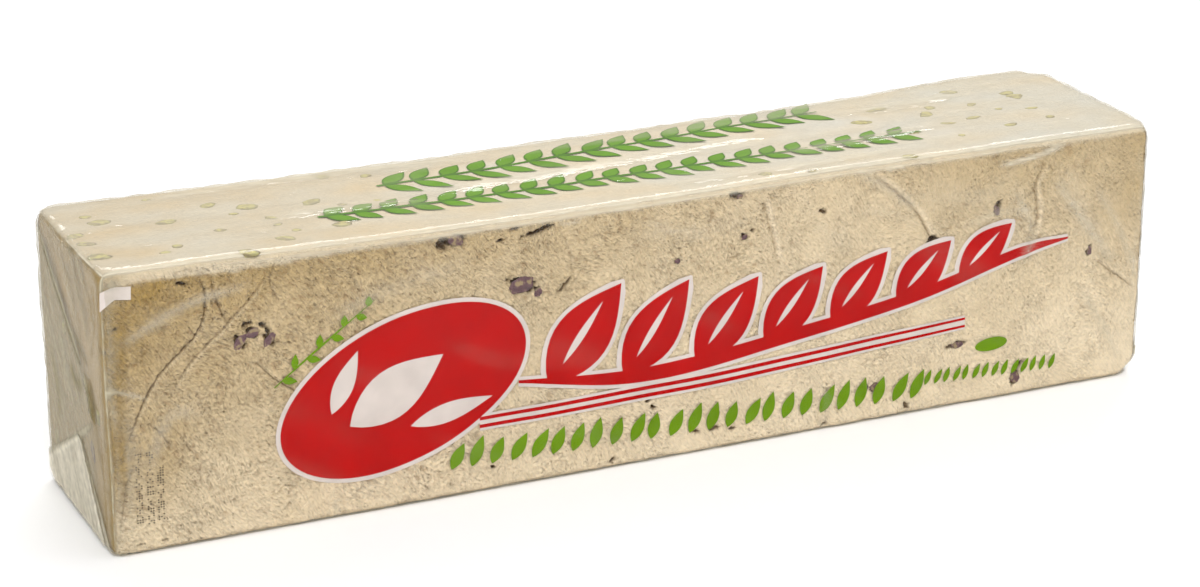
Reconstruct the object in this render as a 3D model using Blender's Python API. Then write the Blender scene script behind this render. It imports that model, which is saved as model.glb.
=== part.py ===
"""A catering block of sesame halva in its tight clear film, made as one closed solid.

The film clings to the block on every side, so block and film are one outer form: a long bar that
stands on a narrow side, with soft edges, an uneven top and the film's folds laid flat at both ends.
Units are metres. X runs along the block, Y across it from front to back, and Z up from the base.
"""

import math

import bmesh
import bpy
from mathutils import Vector

# Driving dimensions of the wrapped block
LENGTH = 0.444
WIDTH = 0.0865
HEIGHT = 0.110

# Edges, and the spacing of the rows of points that carry the uneven form
EDGE_RADIUS = 0.0028
EDGE_SEGMENTS = 3
ROW_SPACING = 0.0115

# Radius of each rounded corner, by its side along X, Y and Z
CORNER_RADII = {
    (-1, -1, -1): 0.0045,
    (-1, -1, 1): 0.0060,
    (-1, 1, -1): 0.0045,
    (-1, 1, 1): 0.0065,
    (1, -1, -1): 0.0090,
    (1, -1, 1): 0.0065,
    (1, 1, -1): 0.0050,
    (1, 1, 1): 0.0110,
}

# How the pressed block departs from a true bar: height, place along it from -1 to 1, and half width
FRONT_SAG = (-0.0018, -0.30, 0.80)
BACK_DIP = (-0.0010, -0.35, 0.75)
BACK_HUMP = (0.0034, 0.90, 0.50)
SIDE_SWELL = 0.0008
END_SWELL = 0.0006

# The film's folds at an end, as (across, up) points: across runs from the front (-) to the back (+)
FOLD_THICKNESS = 0.0005
UPPER_FOLD_LINE = ((0.0420, 0.1060), (-0.0300, 0.0500))
LOWER_FLAP_TOP = ((0.0350, 0.0140), (-0.0070, 0.0345))
LOWER_FLAP_SIDE = ((-0.0070, 0.0345), (-0.0330, 0.0000))

# Clear film over a cream mass
FILM_COLOUR = (0.72, 0.62, 0.44, 1.0)
FILM_ROUGHNESS = 0.25

FLAT_ENOUGH = 0.999


def remove_objects():
    """Clears the scene."""
    for thing in list(bpy.data.objects):
        bpy.data.objects.remove(thing, do_unlink=True)


def bump(place, centre, reach):
    """A smooth hill of height 1 that ends at reach on each side of centre."""
    along = max(-1.0, min(1.0, (place - centre) / reach))
    return 0.5 * (1.0 + math.cos(math.pi * along))


def hill(shape, place):
    """Height of one named unevenness at a place along the block."""
    height, centre, reach = shape
    return height * bump(place, centre, reach)


def top_rise(along, across):
    """How far the top stands above its mean level; along and across run from -1 to 1."""
    back = 0.5 * (1.0 + across)
    back_rise = hill(BACK_DIP, along) + hill(BACK_HUMP, along)
    return back * back_rise + (1.0 - back) * hill(FRONT_SAG, along)


def round_corner(point, side, radius):
    """Draws a point near one corner in towards a sphere, and leaves the edges as they are."""
    half = Vector((LENGTH / 2, WIDTH / 2, HEIGHT / 2))
    middle = Vector((0.0, 0.0, HEIGHT / 2))
    centre = Vector([middle[i] + side[i] * (half[i] - radius) for i in range(3)])
    out = Vector([side[i] * (point[i] - centre[i]) / radius for i in range(3)])
    inside_edge = min(out)
    if inside_edge <= 0.0 or out.length <= 1.0:
        return point
    pull = 1.0 - min(inside_edge, 1.0) * (1.0 - 1.0 / out.length)
    return Vector([centre[i] + side[i] * out[i] * pull * radius for i in range(3)])


def settled(point):
    """The place that a point of the true bar takes on the uneven block."""
    for side, radius in CORNER_RADII.items():
        point = round_corner(point, side, radius)
    along = 2.0 * point.x / LENGTH
    across = 2.0 * point.y / WIDTH
    up = point.z / HEIGHT
    swell = math.sin(math.pi * max(0.0, min(1.0, up)))
    side_swell = SIDE_SWELL * across * swell * bump(along, 0.0, 1.0)
    end_swell = END_SWELL * along * swell * bump(across, 0.0, 1.2)
    return Vector((
        point.x + end_swell,
        point.y + side_swell,
        point.z + up * top_rise(along, across),
    ))


def cut(bm, geometry, through, normal):
    """Cuts a row of edges through the given geometry, and takes nothing away."""
    bmesh.ops.bisect_plane(bm, geom=geometry, plane_co=through, plane_no=normal)


def cut_rows(bm, axis, low, high):
    """Cuts evenly spaced rows across one axis of the whole solid."""
    rows = math.ceil((high - low) / ROW_SPACING)
    normal = Vector([1.0 if i == axis else 0.0 for i in range(3)])
    for row in range(rows + 1):
        through = normal * (low + (high - low) * row / rows)
        geometry = bm.verts[:] + bm.edges[:] + bm.faces[:]
        cut(bm, geometry, through, normal)


def end_faces(bm, side):
    """The flat faces of one end; side is -1 or 1 along X."""
    reach = LENGTH / 2 - EDGE_RADIUS / 10
    return [
        face for face in bm.faces
        if face.normal.x * side > FLAT_ENOUGH and face.calc_center_median().x * side > reach
    ]


def above_line(line, across, up):
    """Positive on the upper side of a fold line, as seen across an end."""
    (start_across, start_up), (end_across, end_up) = line
    run, rise = end_across - start_across, end_up - start_up
    return (up - start_up) * abs(run) - (across - start_across) * rise * (1 if run > 0 else -1)


def fold_end(bm, side):
    """Lays the film's folds on one end: an upper fold, and a flap turned up from the base."""
    for line in (UPPER_FOLD_LINE, LOWER_FLAP_TOP, LOWER_FLAP_SIDE):
        (start_across, start_up), (end_across, end_up) = line
        through = Vector((0.0, -side * start_across, start_up))
        normal = Vector((0.0, -side * (end_up - start_up), -(end_across - start_across)))
        faces = end_faces(bm, side)
        edges = list({edge for face in faces for edge in face.edges})
        verts = list({vert for face in faces for vert in face.verts})
        cut(bm, verts + edges + faces, through, normal)
    raise_region(bm, side, lambda across, up: above_line(UPPER_FOLD_LINE, across, up) > 0.0)
    raise_region(bm, side, lambda across, up: (
        above_line(LOWER_FLAP_TOP, across, up) < 0.0
        and above_line(LOWER_FLAP_SIDE, across, up) < 0.0
    ))


def raise_region(bm, side, belongs):
    """Raises the faces of one end that belong to a fold by the thickness of the gathered film."""
    chosen = []
    for face in end_faces(bm, side):
        centre = face.calc_center_median()
        if belongs(-side * centre.y, centre.z):
            chosen.append(face)
    edges = list({edge for face in chosen for edge in face.edges})
    raised = bmesh.ops.extrude_face_region(bm, geom=chosen + edges)
    verts = [item for item in raised["geom"] if isinstance(item, bmesh.types.BMVert)]
    bmesh.ops.translate(bm, verts=verts, vec=(side * FOLD_THICKNESS, 0.0, 0.0))


def stand_on_origin(bm):
    """Puts the origin at the middle of the base of the block's own box."""
    low = Vector([min(vert.co[i] for vert in bm.verts) for i in range(3)])
    high = Vector([max(vert.co[i] for vert in bm.verts) for i in range(3)])
    shift = Vector((-(low.x + high.x) / 2, -(low.y + high.y) / 2, -low.z))
    bmesh.ops.translate(bm, verts=bm.verts[:], vec=shift)


def block_mesh():
    """The wrapped block: a bevelled bar, cut into rows, folded at its ends and settled."""
    bm = bmesh.new()
    bmesh.ops.create_cube(bm, size=1.0)
    bmesh.ops.scale(bm, vec=(LENGTH, WIDTH, HEIGHT), verts=bm.verts[:])
    bmesh.ops.translate(bm, vec=(0.0, 0.0, HEIGHT / 2), verts=bm.verts[:])
    bmesh.ops.bevel(
        bm, geom=bm.edges[:], offset=EDGE_RADIUS, segments=EDGE_SEGMENTS, profile=0.5,
        affect="EDGES",
    )
    cut_rows(bm, 0, -LENGTH / 2 + 2 * EDGE_RADIUS, LENGTH / 2 - 2 * EDGE_RADIUS)
    cut_rows(bm, 1, -WIDTH / 2 + 2 * EDGE_RADIUS, WIDTH / 2 - 2 * EDGE_RADIUS)
    cut_rows(bm, 2, 2 * EDGE_RADIUS, HEIGHT - 2 * EDGE_RADIUS)
    for side in (-1, 1):
        fold_end(bm, side)
    for vert in bm.verts:
        vert.co = settled(vert.co)
    stand_on_origin(bm)
    bmesh.ops.triangulate(bm, faces=bm.faces[:])
    mesh = bpy.data.meshes.new("wrapped_block")
    bm.to_mesh(mesh)
    bm.free()
    return mesh


def film_material():
    """Clear glossy film over cream halva, as one colour."""
    material = bpy.data.materials.new("film_over_halva")
    material.use_nodes = True
    shader = material.node_tree.nodes["Principled BSDF"]
    shader.inputs["Base Color"].default_value = FILM_COLOUR
    shader.inputs["Roughness"].default_value = FILM_ROUGHNESS
    shader.inputs["Metallic"].default_value = 0.0
    return material


def main():
    remove_objects()
    mesh = block_mesh()
    mesh.materials.append(film_material())
    mesh.shade_smooth()
    mesh.set_sharp_from_angle(angle=math.radians(35.0))
    block = bpy.data.objects.new("wrapped_block", mesh)
    bpy.context.collection.objects.link(block)


main()
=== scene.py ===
"""A catering block of sesame halva with pistachios in printed clear film, built round its frame."""

import math
from functools import partial

import bmesh
import bpy
import numpy as np
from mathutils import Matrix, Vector, noise


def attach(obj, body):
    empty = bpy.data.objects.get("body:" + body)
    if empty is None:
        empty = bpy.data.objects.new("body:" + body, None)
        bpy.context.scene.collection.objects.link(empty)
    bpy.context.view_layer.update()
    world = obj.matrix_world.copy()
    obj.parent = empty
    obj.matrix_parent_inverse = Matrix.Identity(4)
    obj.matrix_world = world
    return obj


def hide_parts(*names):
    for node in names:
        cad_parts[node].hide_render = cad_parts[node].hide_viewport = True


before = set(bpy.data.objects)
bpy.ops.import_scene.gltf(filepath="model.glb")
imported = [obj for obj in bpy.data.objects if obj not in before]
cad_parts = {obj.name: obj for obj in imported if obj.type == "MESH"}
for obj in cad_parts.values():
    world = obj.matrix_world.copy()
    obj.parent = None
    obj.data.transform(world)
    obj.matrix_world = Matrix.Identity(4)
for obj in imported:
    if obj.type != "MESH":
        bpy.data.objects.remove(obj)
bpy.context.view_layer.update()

bl_info = {
    "name": "Wrapped Halva Block",
    "version": (1, 0, 0),
    "blender": (4, 5, 0),
    "location": "View3D > Sidebar > Halva",
    "description": "Builds a block of sesame halva with pistachios in printed clear film",
    "category": "Object",
}

MM = 0.001

# The bar before it settled, as the film's outside, and how it departs from a true bar
LENGTH = 0.444
WIDTH = 0.0865
HEIGHT = 0.110
CORNER_RADII = {
    (-1, -1, -1): 0.0045,
    (-1, -1, 1): 0.0060,
    (-1, 1, -1): 0.0045,
    (-1, 1, 1): 0.0065,
    (1, -1, -1): 0.0090,
    (1, -1, 1): 0.0065,
    (1, 1, -1): 0.0050,
    (1, 1, 1): 0.0110,
}
FRONT_SAG = (-0.0018, -0.30, 0.80)
BACK_DIP = (-0.0010, -0.35, 0.75)
BACK_HUMP = (0.0034, 0.90, 0.50)
SIDE_SWELL = 0.0008
END_SWELL = 0.0006

# The film's folds at an end, as (across, up) in metres: across runs from the front (-) to the back (+)
UPPER_FOLD = ((0.0420, 0.1060), (-0.0300, 0.0500))
FLAP_TOP = ((0.0350, 0.0140), (-0.0070, 0.0345))
FLAP_SIDE = ((-0.0070, 0.0345), (-0.0330, 0.0000))
# Free border round a fold's sheet in metres, and how far fold and flap lie off the end in millimetres
FOLD_MARGIN = 0.0018
FOLD_LIFT = 0.22
FLAP_LIFT = 0.40
# The film turns over the block's edges within this distance of them, in metres
FILM_TURN = 0.0029
# A point lies on a face of the film within the first of these distances of it, and beside an edge
# that catches the light within the second
FACE_REACH = 1.0 * MM
EDGE_REACH = 5.0 * MM

# Crest of the long fold on an end: its slope, and its height in millimetres at the end's middle
LONG_FOLD_SLOPE = 0.78
LONG_FOLD_HEIGHT = 76.5

# Slope of the torn fibres on the front in degrees
PULL_TURN = 52

# Depth in millimetres, or darkness of stain and painted shade, past which the halva's mesh is cut finer
MARKED = 0.12

# How far the film lets the halva stand out, and how thick a fold and a layer of ink are
FILM_PRESS = 0.20 * MM
SHEET_THICKNESS = 0.08 * MM
INK_THICKNESS = 0.02 * MM

# Faces of the block by name: the axis they face along, and which way
FACES = {
    "left": (0, -1), "right": (0, 1), "front": (1, -1), "back": (1, 1), "base": (2, -1), "top": (2, 1),
}

# Cracks and fold lines on the front: path as (x, z) in millimetres, half width, depth, how dark the bottom
# is from 0 to 1 as stain and painted shade, and the height of the ridge beside it, painted light on top
FRONT_CRACKS = (
    (((-187, 108), (-183, 95), (-187, 82), (-199, 71), (-207, 60), (-218, 36)), 0.40, 0.8, 0.60, 0.35),
    (((-213, 35), (-216, 27), (-219, 9)), 0.45, 0.5, 0.35, 0.20),
    (((-181, 103), (-179, 93), (-175, 83)), 0.45, 0.6, 0.50, 0.20),
    (((-160, 100), (-171, 88), (-188, 73), (-197, 62)), 0.45, 0.5, 0.35, 0.40),
    (((-184, 89), (-180, 86), (-174, 80)), 0.40, 0.5, 0.40, 0.20),
    (((-166, 68), (-158, 60), (-148, 52)), 0.40, 0.5, 0.40, 0.25),
    (((-156, 107), (-159, 98), (-156, 90)), 0.35, 0.35, 0.30, 0.20),
    (((-128, 104), (-126, 92), (-118, 84)), 0.35, 0.3, 0.15, 0.25),
    (((-63, 96), (-62, 84)), 0.30, 0.3, 0.20, 0.15),
    (((-44, 103), (-40, 92), (-38, 78)), 0.30, 0.3, 0.20, 0.20),
    (((9, 104), (12, 92), (11, 84)), 0.30, 0.3, 0.15, 0.20),
    (((42, 102), (45, 91), (49, 73)), 0.80, 0.5, 0.15, 0.6),
    (((90, 105), (103, 95), (113, 84), (120, 72)), 0.85, 0.7, 0.34, 0.6),
    (((171, 99), (167, 89), (169, 79), (167, 68)), 0.80, 0.6, 0.24, 0.6),
    (((197, 55), (208, 47), (220, 38)), 0.55, 0.5, 0.25, 0.35),
    (((150, 103), (156, 92), (166, 84)), 0.30, 0.25, 0.12, 0.20),
    (((73, 0), (72, 12), (70, 23)), 0.40, 0.3, 0.10, 0.30),
    (((-206, 50), (-201, 44), (-199, 39)), 0.40, 0.5, 0.45, 0.20),
    (((-198, 48), (-194, 42), (-191, 36)), 0.35, 0.4, 0.40, 0.20),
    (((-150, 50), (-142, 41)), 0.40, 0.5, 0.35, 0.20),
)

# Open pits on the front: x, z, long, short in millimetres, turn in degrees, depth in millimetres
FRONT_PITS = (
    (-168.6, 82.6, 4.6, 1.4, 10, 3.0),
    (-162.6, 81.6, 2.6, 1.8, -50, 3.0),
    (-160.4, 78.9, 3.0, 1.4, -60, 3.0),
    (-166.4, 79.3, 5.4, 3.0, -28, 1.5),
    (-160.2, 75.8, 6.2, 2.6, -50, 1.4),
    (-171.4, 76.2, 6.8, 3.4, -50, 1.4),
    (-191.8, 101.4, 4.6, 1.1, -14, 2.0),
    (-216.7, 88.1, 1.6, 1.1, 0, 1.5),
    (-221.0, 79.2, 1.1, 1.0, 0, 1.5),
    (-91.5, 103.6, 4.6, 5.6, -60, 3.2),
    (-86.0, 104.6, 5.5, 3.6, 20, 2.0),
    (-68.4, 101.6, 2.6, 1.2, 10, 2.5),
    (-53.0, 103.3, 13.0, 1.9, 12, 2.6),
    (-62.5, 105.6, 3.2, 1.2, 10, 1.5),
    (-59.8, 82.6, 12.5, 5.4, -20, 1.6),
    (-42.5, 80.0, 8.0, 1.3, 48, 1.2),
    (-102.5, 53.9, 2.0, 1.6, 0, 1.8),
    (30.5, 105.3, 6.0, 2.8, -5, 2.6),
    (34.0, 88.0, 3.4, 2.0, -45, 2.0),
    (37.5, 90.0, 1.6, 1.2, 0, 1.2),
    (68.5, 93.0, 3.6, 1.6, -20, 1.6),
    (4.9, 82.4, 2.0, 2.0, 0, 1.4),
    (119.6, 73.6, 4.4, 3.4, 0, 2.8),
    (121.8, 69.0, 6.8, 3.8, -72, 2.2),
    (149.6, 83.2, 6.2, 2.4, 66, 2.0),
    (158.4, 63.4, 3.4, 2.6, 0, 1.0),
    (195.1, 58.8, 4.6, 2.0, 80, 2.0),
    (132.3, 26.9, 8.0, 2.2, 4, 1.6),
    (89.5, 15.2, 4.6, 3.8, -20, 1.4),
    (95.0, 14.6, 4.6, 3.6, 15, 1.4),
    (163.5, 13.5, 4.4, 2.6, 60, 2.2),
    (161.5, 8.2, 6.4, 3.4, 66, 1.8),
    (-7.0, 26.4, 2.2, 1.6, 0, 2.0),
    (-4.6, 23.2, 2.8, 1.4, -30, 2.0),
    (-72.5, 9.9, 2.4, 1.4, -40, 1.8),
    (-22.4, 3.5, 2.6, 1.3, 60, 1.8),
    (14.0, 9.6, 3.2, 1.2, -10, 1.4),
    (22.0, 9.2, 4.2, 1.6, 10, 1.4),
    (30.0, 8.0, 3.0, 1.4, -15, 1.4),
    (110.0, 4.0, 3.6, 2.2, -60, 1.4),
    (72.0, 2.4, 2.6, 2.0, 40, 1.8),
    (-212.0, 3.8, 3.6, 0.8, 8, 0.7),
    (-203.0, 4.2, 2.8, 0.8, -10, 0.7),
)

# Pistachio pieces that show on the front: x, z, long, short in millimetres, turn in degrees
FRONT_NUTS = (
    (-166.4, 79.1, 5.4, 3.2, -26),
    (-160.1, 75.8, 6.0, 2.8, -50),
    (-171.4, 76.2, 6.8, 3.6, -50),
    (-86.6, 104.4, 5.6, 4.6, 20),
    (-60.3, 82.9, 10.5, 6.0, -18),
    (-53.6, 78.9, 3.8, 3.0, -40),
    (32.0, 104.6, 2.6, 2.0, -5),
    (34.0, 88.0, 2.6, 1.8, -45),
    (4.9, 82.4, 2.2, 2.0, 0),
    (122.2, 68.4, 6.0, 4.2, -72),
    (149.2, 82.0, 4.2, 2.4, 66),
    (158.4, 63.4, 4.2, 3.6, 0),
    (195.1, 58.6, 3.6, 2.2, 80),
    (132.8, 26.9, 5.6, 2.8, 4),
    (89.5, 15.2, 4.8, 4.2, -20),
    (95.0, 14.6, 4.8, 4.0, 15),
    (161.3, 8.4, 5.6, 4.2, 66),
)

# How many bits are scattered on top near the right end
TOP_RIGHT_NUTS = 16
# Bits scattered on the other faces: half length and half width of the field in millimetres, how many,
# and the seed of their draw; and the share of them that still has its skin
SCATTERED_NUTS = (
    ("back", 208, 48, 26, 21), ("base", 208, 36, 22, 22), ("left", 36, 36, 5, 23), ("right", 36, 36, 6, 24),
)
SKINNED_SHARE = 0.35

# Cut pistachios that show through the cloudy film on top: (x, y) in millimetres
TOP_SECTIONS = (
    (-193, -29), (-187, -24), (-216, -24), (-216, -8), (-217, 2), (-205, 14), (-208, 22), (-182, 5),
    (-181, 34), (-162, 18), (-156, 5), (-149, 11), (-167, -12), (-145, -13), (-145, -5), (-141, -22),
    (-148, -30), (-125, 7), (-115, 0), (-110, 35), (-94, 30), (-89, 18), (-101, 0), (-123, -22),
    (-166, -40), (65, -40), (109, -40), (115, 9), (143, -24), (168, -21), (175, -1), (47, -35),
)

# Ripples in the film on top: path as (x, y), half width and height, all in millimetres
TOP_RIPPLES = (
    (((-90, -3), (-50, 0), (0, 4), (50, 8), (95, 16)), 4.5, 0.7),
    (((-150, -8), (-110, -6), (-80, -10)), 4.0, 0.4),
    (((60, -18), (110, -12), (150, -8)), 4.0, 0.5),
    (((100, 26), (140, 20), (175, 22)), 5.0, 0.4),
    (((-200, 30), (-120, 36), (-40, 33)), 5.0, 0.3),
    (((0, -30), (60, -34), (120, -30)), 3.0, 0.3),
)
# How white the ripples look, from 0 to 1, as painted sheen
RIPPLE_WHITE = 0.22
# The printed rows on top: left, right, front and back in millimetres
PRINTED_ROWS = ((-92, 118, 5, 27), (-126, 140, -21, -4))

# Creases in the film on the front: path as (x, z), half width and height in millimetres, and how
# white they look from 0 to 1, partly milky film and partly painted sheen and glints
FRONT_STREAKS = (
    (((-221, 79), (-204, 88), (-185, 95), (-164, 98)), 1.8, 0.35, 0.30),
    (((-209, 30), (-203, 44), (-198, 52), (-187, 53)), 2.6, 0.30, 0.25),
    (((-223, 59), (-220, 65), (-213, 63), (-206, 60)), 0.9, 0.40, 0.40),
    (((148, 101), (163, 102.5), (181, 106.5)), 1.1, 0.60, 0.80),
    (((-140, 80), (-110, 90), (-80, 96)), 3.5, 0.25, 0.16),
    (((-20, 100), (10, 94), (40, 96)), 4.0, 0.20, 0.10),
    (((100, 96), (130, 90), (160, 92)), 4.0, 0.25, 0.12),
    (((176, 100), (190, 80), (196, 60)), 5.0, 0.25, 0.12),
    (((-214, 22), (-213, 40), (-216, 56)), 3.0, 0.25, 0.15),
    (((60, 92), (75, 82), (82, 70)), 4.0, 0.20, 0.10),
    (((82, 108), (98, 98), (112, 86)), 2.2, 0.45, 0.26),
    (((155, 93), (166, 72), (162, 57)), 2.0, 0.45, 0.26),
    (((175, 93), (188, 76), (213, 45)), 2.4, 0.50, 0.28),
    (((195, 88), (209, 66), (221, 40)), 1.8, 0.45, 0.26),
    (((132, 77), (148, 81), (168, 80.6)), 1.8, 0.40, 0.22),
    (((187, 49), (204, 24), (213, 7)), 2.2, 0.40, 0.22),
    (((84, 92), (100, 87.6), (117, 79)), 2.0, 0.30, 0.12),
    (((-12, 103), (5, 94.5), (20.5, 90)), 2.2, 0.30, 0.12),
    (((58, 31.5), (72, 16), (71.5, 2)), 1.4, 0.30, 0.12),
    (((-219.4, 6), (-218.6, 40), (-219.6, 70), (-218.4, 104)), 0.8, 0.40, 0.25),
    (((-216.0, 10), (-215.0, 32), (-216.6, 58)), 0.7, 0.30, 0.15),
    (((218.6, 14), (217.4, 50), (218.8, 80), (217.0, 104)), 0.9, 0.40, 0.25),
    (((214.6, 30), (213.6, 60), (215.0, 92)), 0.7, 0.25, 0.12),
    (((-200, 107.2), (-120, 106.6), (-40, 107.4), (60, 106.8), (140, 107.2), (205, 106.4)), 0.8, 0.30, 0.36),
    (((-46, 106), (-40, 104.6), (-34, 106.4)), 0.8, 0.40, 0.35),
    (((96, 105), (101, 106.8), (106, 105.4)), 0.7, 0.40, 0.35),
    (((-137, 0), (-136.6, 4), (-137.4, 9)), 0.6, 0.35, 0.25),
    (((70.4, 0), (70, 6), (71, 12)), 0.6, 0.35, 0.25),
    (((117, 0), (116.6, 3), (117, 6)), 0.6, 0.35, 0.20),
)
# The same on the left end and, turned about, on the right end, as (across, up) in millimetres
END_STREAKS = (
    (((-17, 66), (-24.7, 59.3), (-27.1, 52.4), (-28.9, 47.4)), 0.9, 1.20, 0.90),
    (((38, 102.5), (24, 95.5), (10, 86), (-2, 77.4), (-11, 71), (-18, 66)), 0.9, 0.60, 0.80),
    (((34.3, 13), (18.2, 21.9), (-6.6, 35.5), (-30.3, 48.9)), 1.2, 0.50, 0.70),
    (((-14, 107.8), (-23.1, 101.5), (-31.7, 93.7), (-32.1, 83.3)), 1.1, 0.45, 0.50),
    (((-36.7, 105.8), (-35.9, 89), (-28, 70)), 0.9, 0.50, 0.60),
    (((8, 104), (-6, 92), (-20, 74)), 1.2, 0.35, 0.20),
    (((-37, 6), (-36, 26), (-34, 44)), 1.1, 0.50, 0.55),
    (((-39.6, 10), (-39.2, 50), (-39.8, 100)), 0.8, 0.45, 0.60),
    (((30, 92), (22, 70), (26, 40)), 2.0, 0.25, 0.12),
    (((16, 80), (8, 60), (12, 42)), 2.0, 0.25, 0.10),
)
# Creases painted dark on the film, as shade in its folds: path, half width, darkness
END_CREASES = (
    (((38, 100.5), (24.4, 92.9), (10, 83.3), (-1.6, 74.6), (-10.9, 68.4), (-18, 64.7)), 0.8, 1.5),
    (((1.8, 108.3), (-11.2, 106.9), (-16.5, 94.9), (-22.8, 87.8), (-25.6, 76.5)), 1.8, 0.40),
    (((-5.2, 78.9), (-16.9, 72), (-23.9, 68.3)), 1.3, 0.60),
    (((1, 62.8), (-5.9, 57.3), (-16.6, 58)), 3.5, 0.40),
    (((-23, 64), (-29, 56), (-31, 44), (-33, 30)), 2.2, 0.50),
    (((-10, 30.5), (-19, 23.5), (-28, 15.5), (-34.5, 8.5), (-40, 1)), 1.3, 0.45),
    (((30, 60), (22, 44), (24, 28)), 3.5, 0.25),
)

# Red leaves on the front: stalk x, z, length and width in millimetres, turn in degrees
FRONT_LEAVES = (
    (-50, 41, 48, 24, 50),
    (-18, 39, 45, 22, 52),
    (13, 40, 41, 21, 49),
    (43, 43, 38, 20, 47),
    (73, 47, 36, 19, 45),
    (103, 51, 33, 18, 41),
    (132, 57, 31, 16, 38),
)

# Garlands on top, in millimetres: start and end of the stem, its y at the start and its drift for each
# millimetre along, spacing of the leaves, their length and their width
TOP_GARLANDS = (
    (-92, 100, 15.5, 0.075, 12.5, 16.5, 7.2),
    (-126, 124, -12.0, -0.006, 11.5, 13.5, 6.6),
)

# Depth of each layer of print under the film's outside in millimetres, first on the front and then on
# top; where outlines of a layer overlap, each lies one step above the one before it
WHITE_GROUND, WHITE_STEP = 0.30, 0.006
RED_SHAPES, RED_STEP = 0.20, 0.005
RED_STRIPES = 0.16
GREEN_STALK = 0.15
SMALL_PRINT = 0.14
WHITE_MOTIFS = 0.12
DOT_DEPTH = 0.10
GARLAND_RIMS = 0.32
GARLAND_LEAVES = 0.25

# Spacing of the cuts that let print follow the film, along the block and across it
PRINT_CELLS = {"front": (4 * MM, 2.5 * MM), "top": (3 * MM, 1.2 * MM)}

# Ellipses on the front: x, z, half length and half height in millimetres, turn in degrees
MEDALLION = (-108, 48, 51.2, 28.7, 20)
MEDALLION_RIM = 1.8
GREEN_OVAL = (149, 25, 7.6, 2.9, 3)

# Leaves in the medallion, as for the red leaves
MEDALLION_LEAVES = ((-130, 37, 44, 20, 32), (-137, 43, 26, 8, 66), (-106, 33, 34, 8, 12))

# The front's corner mark, and the stem and the stripes under the leaves, as (x, z) in millimetres
CORNER_MARK = (
    (-222.0, 95.6), (-221.6, 102.6), (-217, 104.2), (-210.4, 103.6), (-210.6, 98.6), (-216.5, 99.4),
)
LEAF_STEM = ((-62, 44), (-10, 38), (50, 43), (110, 51), (160, 63), (184, 66))
STRIPE_LINE = ((-78, 29.5), (30, 31.5), (136, 36.5))

# Rows of dots in millimetres: x, and where each starts and ends; then the spacing of the dots, their
# half length and half height, how far a row leans for each millimetre up, and the share that is printed
DOT_ROWS = ((-212.5, 12, 41), (-208.3, 12, 40), (-204.4, 13, 33))
DOT_SPACING = 0.95
DOT_SIZE = (0.34, 0.27)
DOT_LEAN = 0.01
DOT_SHARE = 0.46

# Softboxes: name, place, the point they look at and size in metres, and power in watts
LIGHTS = (
    ("key_softbox", (-0.40, -1.05, 1.30), (0, 0, 0.05), (0.6, 0.5), 14.6),
    ("overhead_softbox", (0.1, 0.5, 1.6), (0, 0, 0.05), (2.0, 1.2), 3.9),
    ("edge_softbox", (0.55, -0.50, 1.15), (0, 0, 0.08), (1.6, 0.12), 6),
    ("right_softbox", (1.6, -1.2, 0.7), (0.1, 0, 0.05), (1.0, 0.8), 1.5),
    ("left_softbox", (-1.7, -0.2, 0.9), (-0.2, 0, 0.05), (0.9, 0.8), 6.5),
    ("backdrop_softbox", (1.2, 3.0, 2.6), (1.0, 2.6, 0), (3.0, 2.0), 130),
)
WORLD_STRENGTH = 0.27
FLOOR_SIZE = 12.0

# Camera: place in metres, how far it looks down and to the right in degrees, lens and sensor in mm
CAMERA_PLACE = (-0.47920, -1.00390, 0.44717)
CAMERA_DOWN = 19.400
CAMERA_RIGHT = 25.165
CAMERA_LENS = 88.82
CAMERA_SENSOR = 36


# ---------------------------------------------------------------- properties

class HalvaSizes(bpy.types.PropertyGroup):
    """Sizes of the halva, the film and the gap between them"""

    film_gap: bpy.props.FloatProperty(
        name="Film gap", description="Distance from the film to the halva's surface",
        default=0.6 * MM, min=0.0, unit="LENGTH")
    film_edge: bpy.props.FloatProperty(
        name="Film edge radius", description="Radius of the film along the block's edges",
        default=2.8 * MM, min=0.0, unit="LENGTH")
    halva_edge: bpy.props.FloatProperty(
        name="Halva edge radius", description="Radius of the halva's pressed edges",
        default=2.2 * MM, min=0.0, unit="LENGTH")
    cell: bpy.props.FloatProperty(
        name="Mesh cell", description="Spacing of the points that carry the surface",
        default=2.4 * MM, min=0.5 * MM, unit="LENGTH")
    halva_cell: bpy.props.FloatProperty(
        name="Halva cell", description="Spacing of the halva's points away from its front",
        default=3.6 * MM, min=0.5 * MM, unit="LENGTH")


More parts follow.
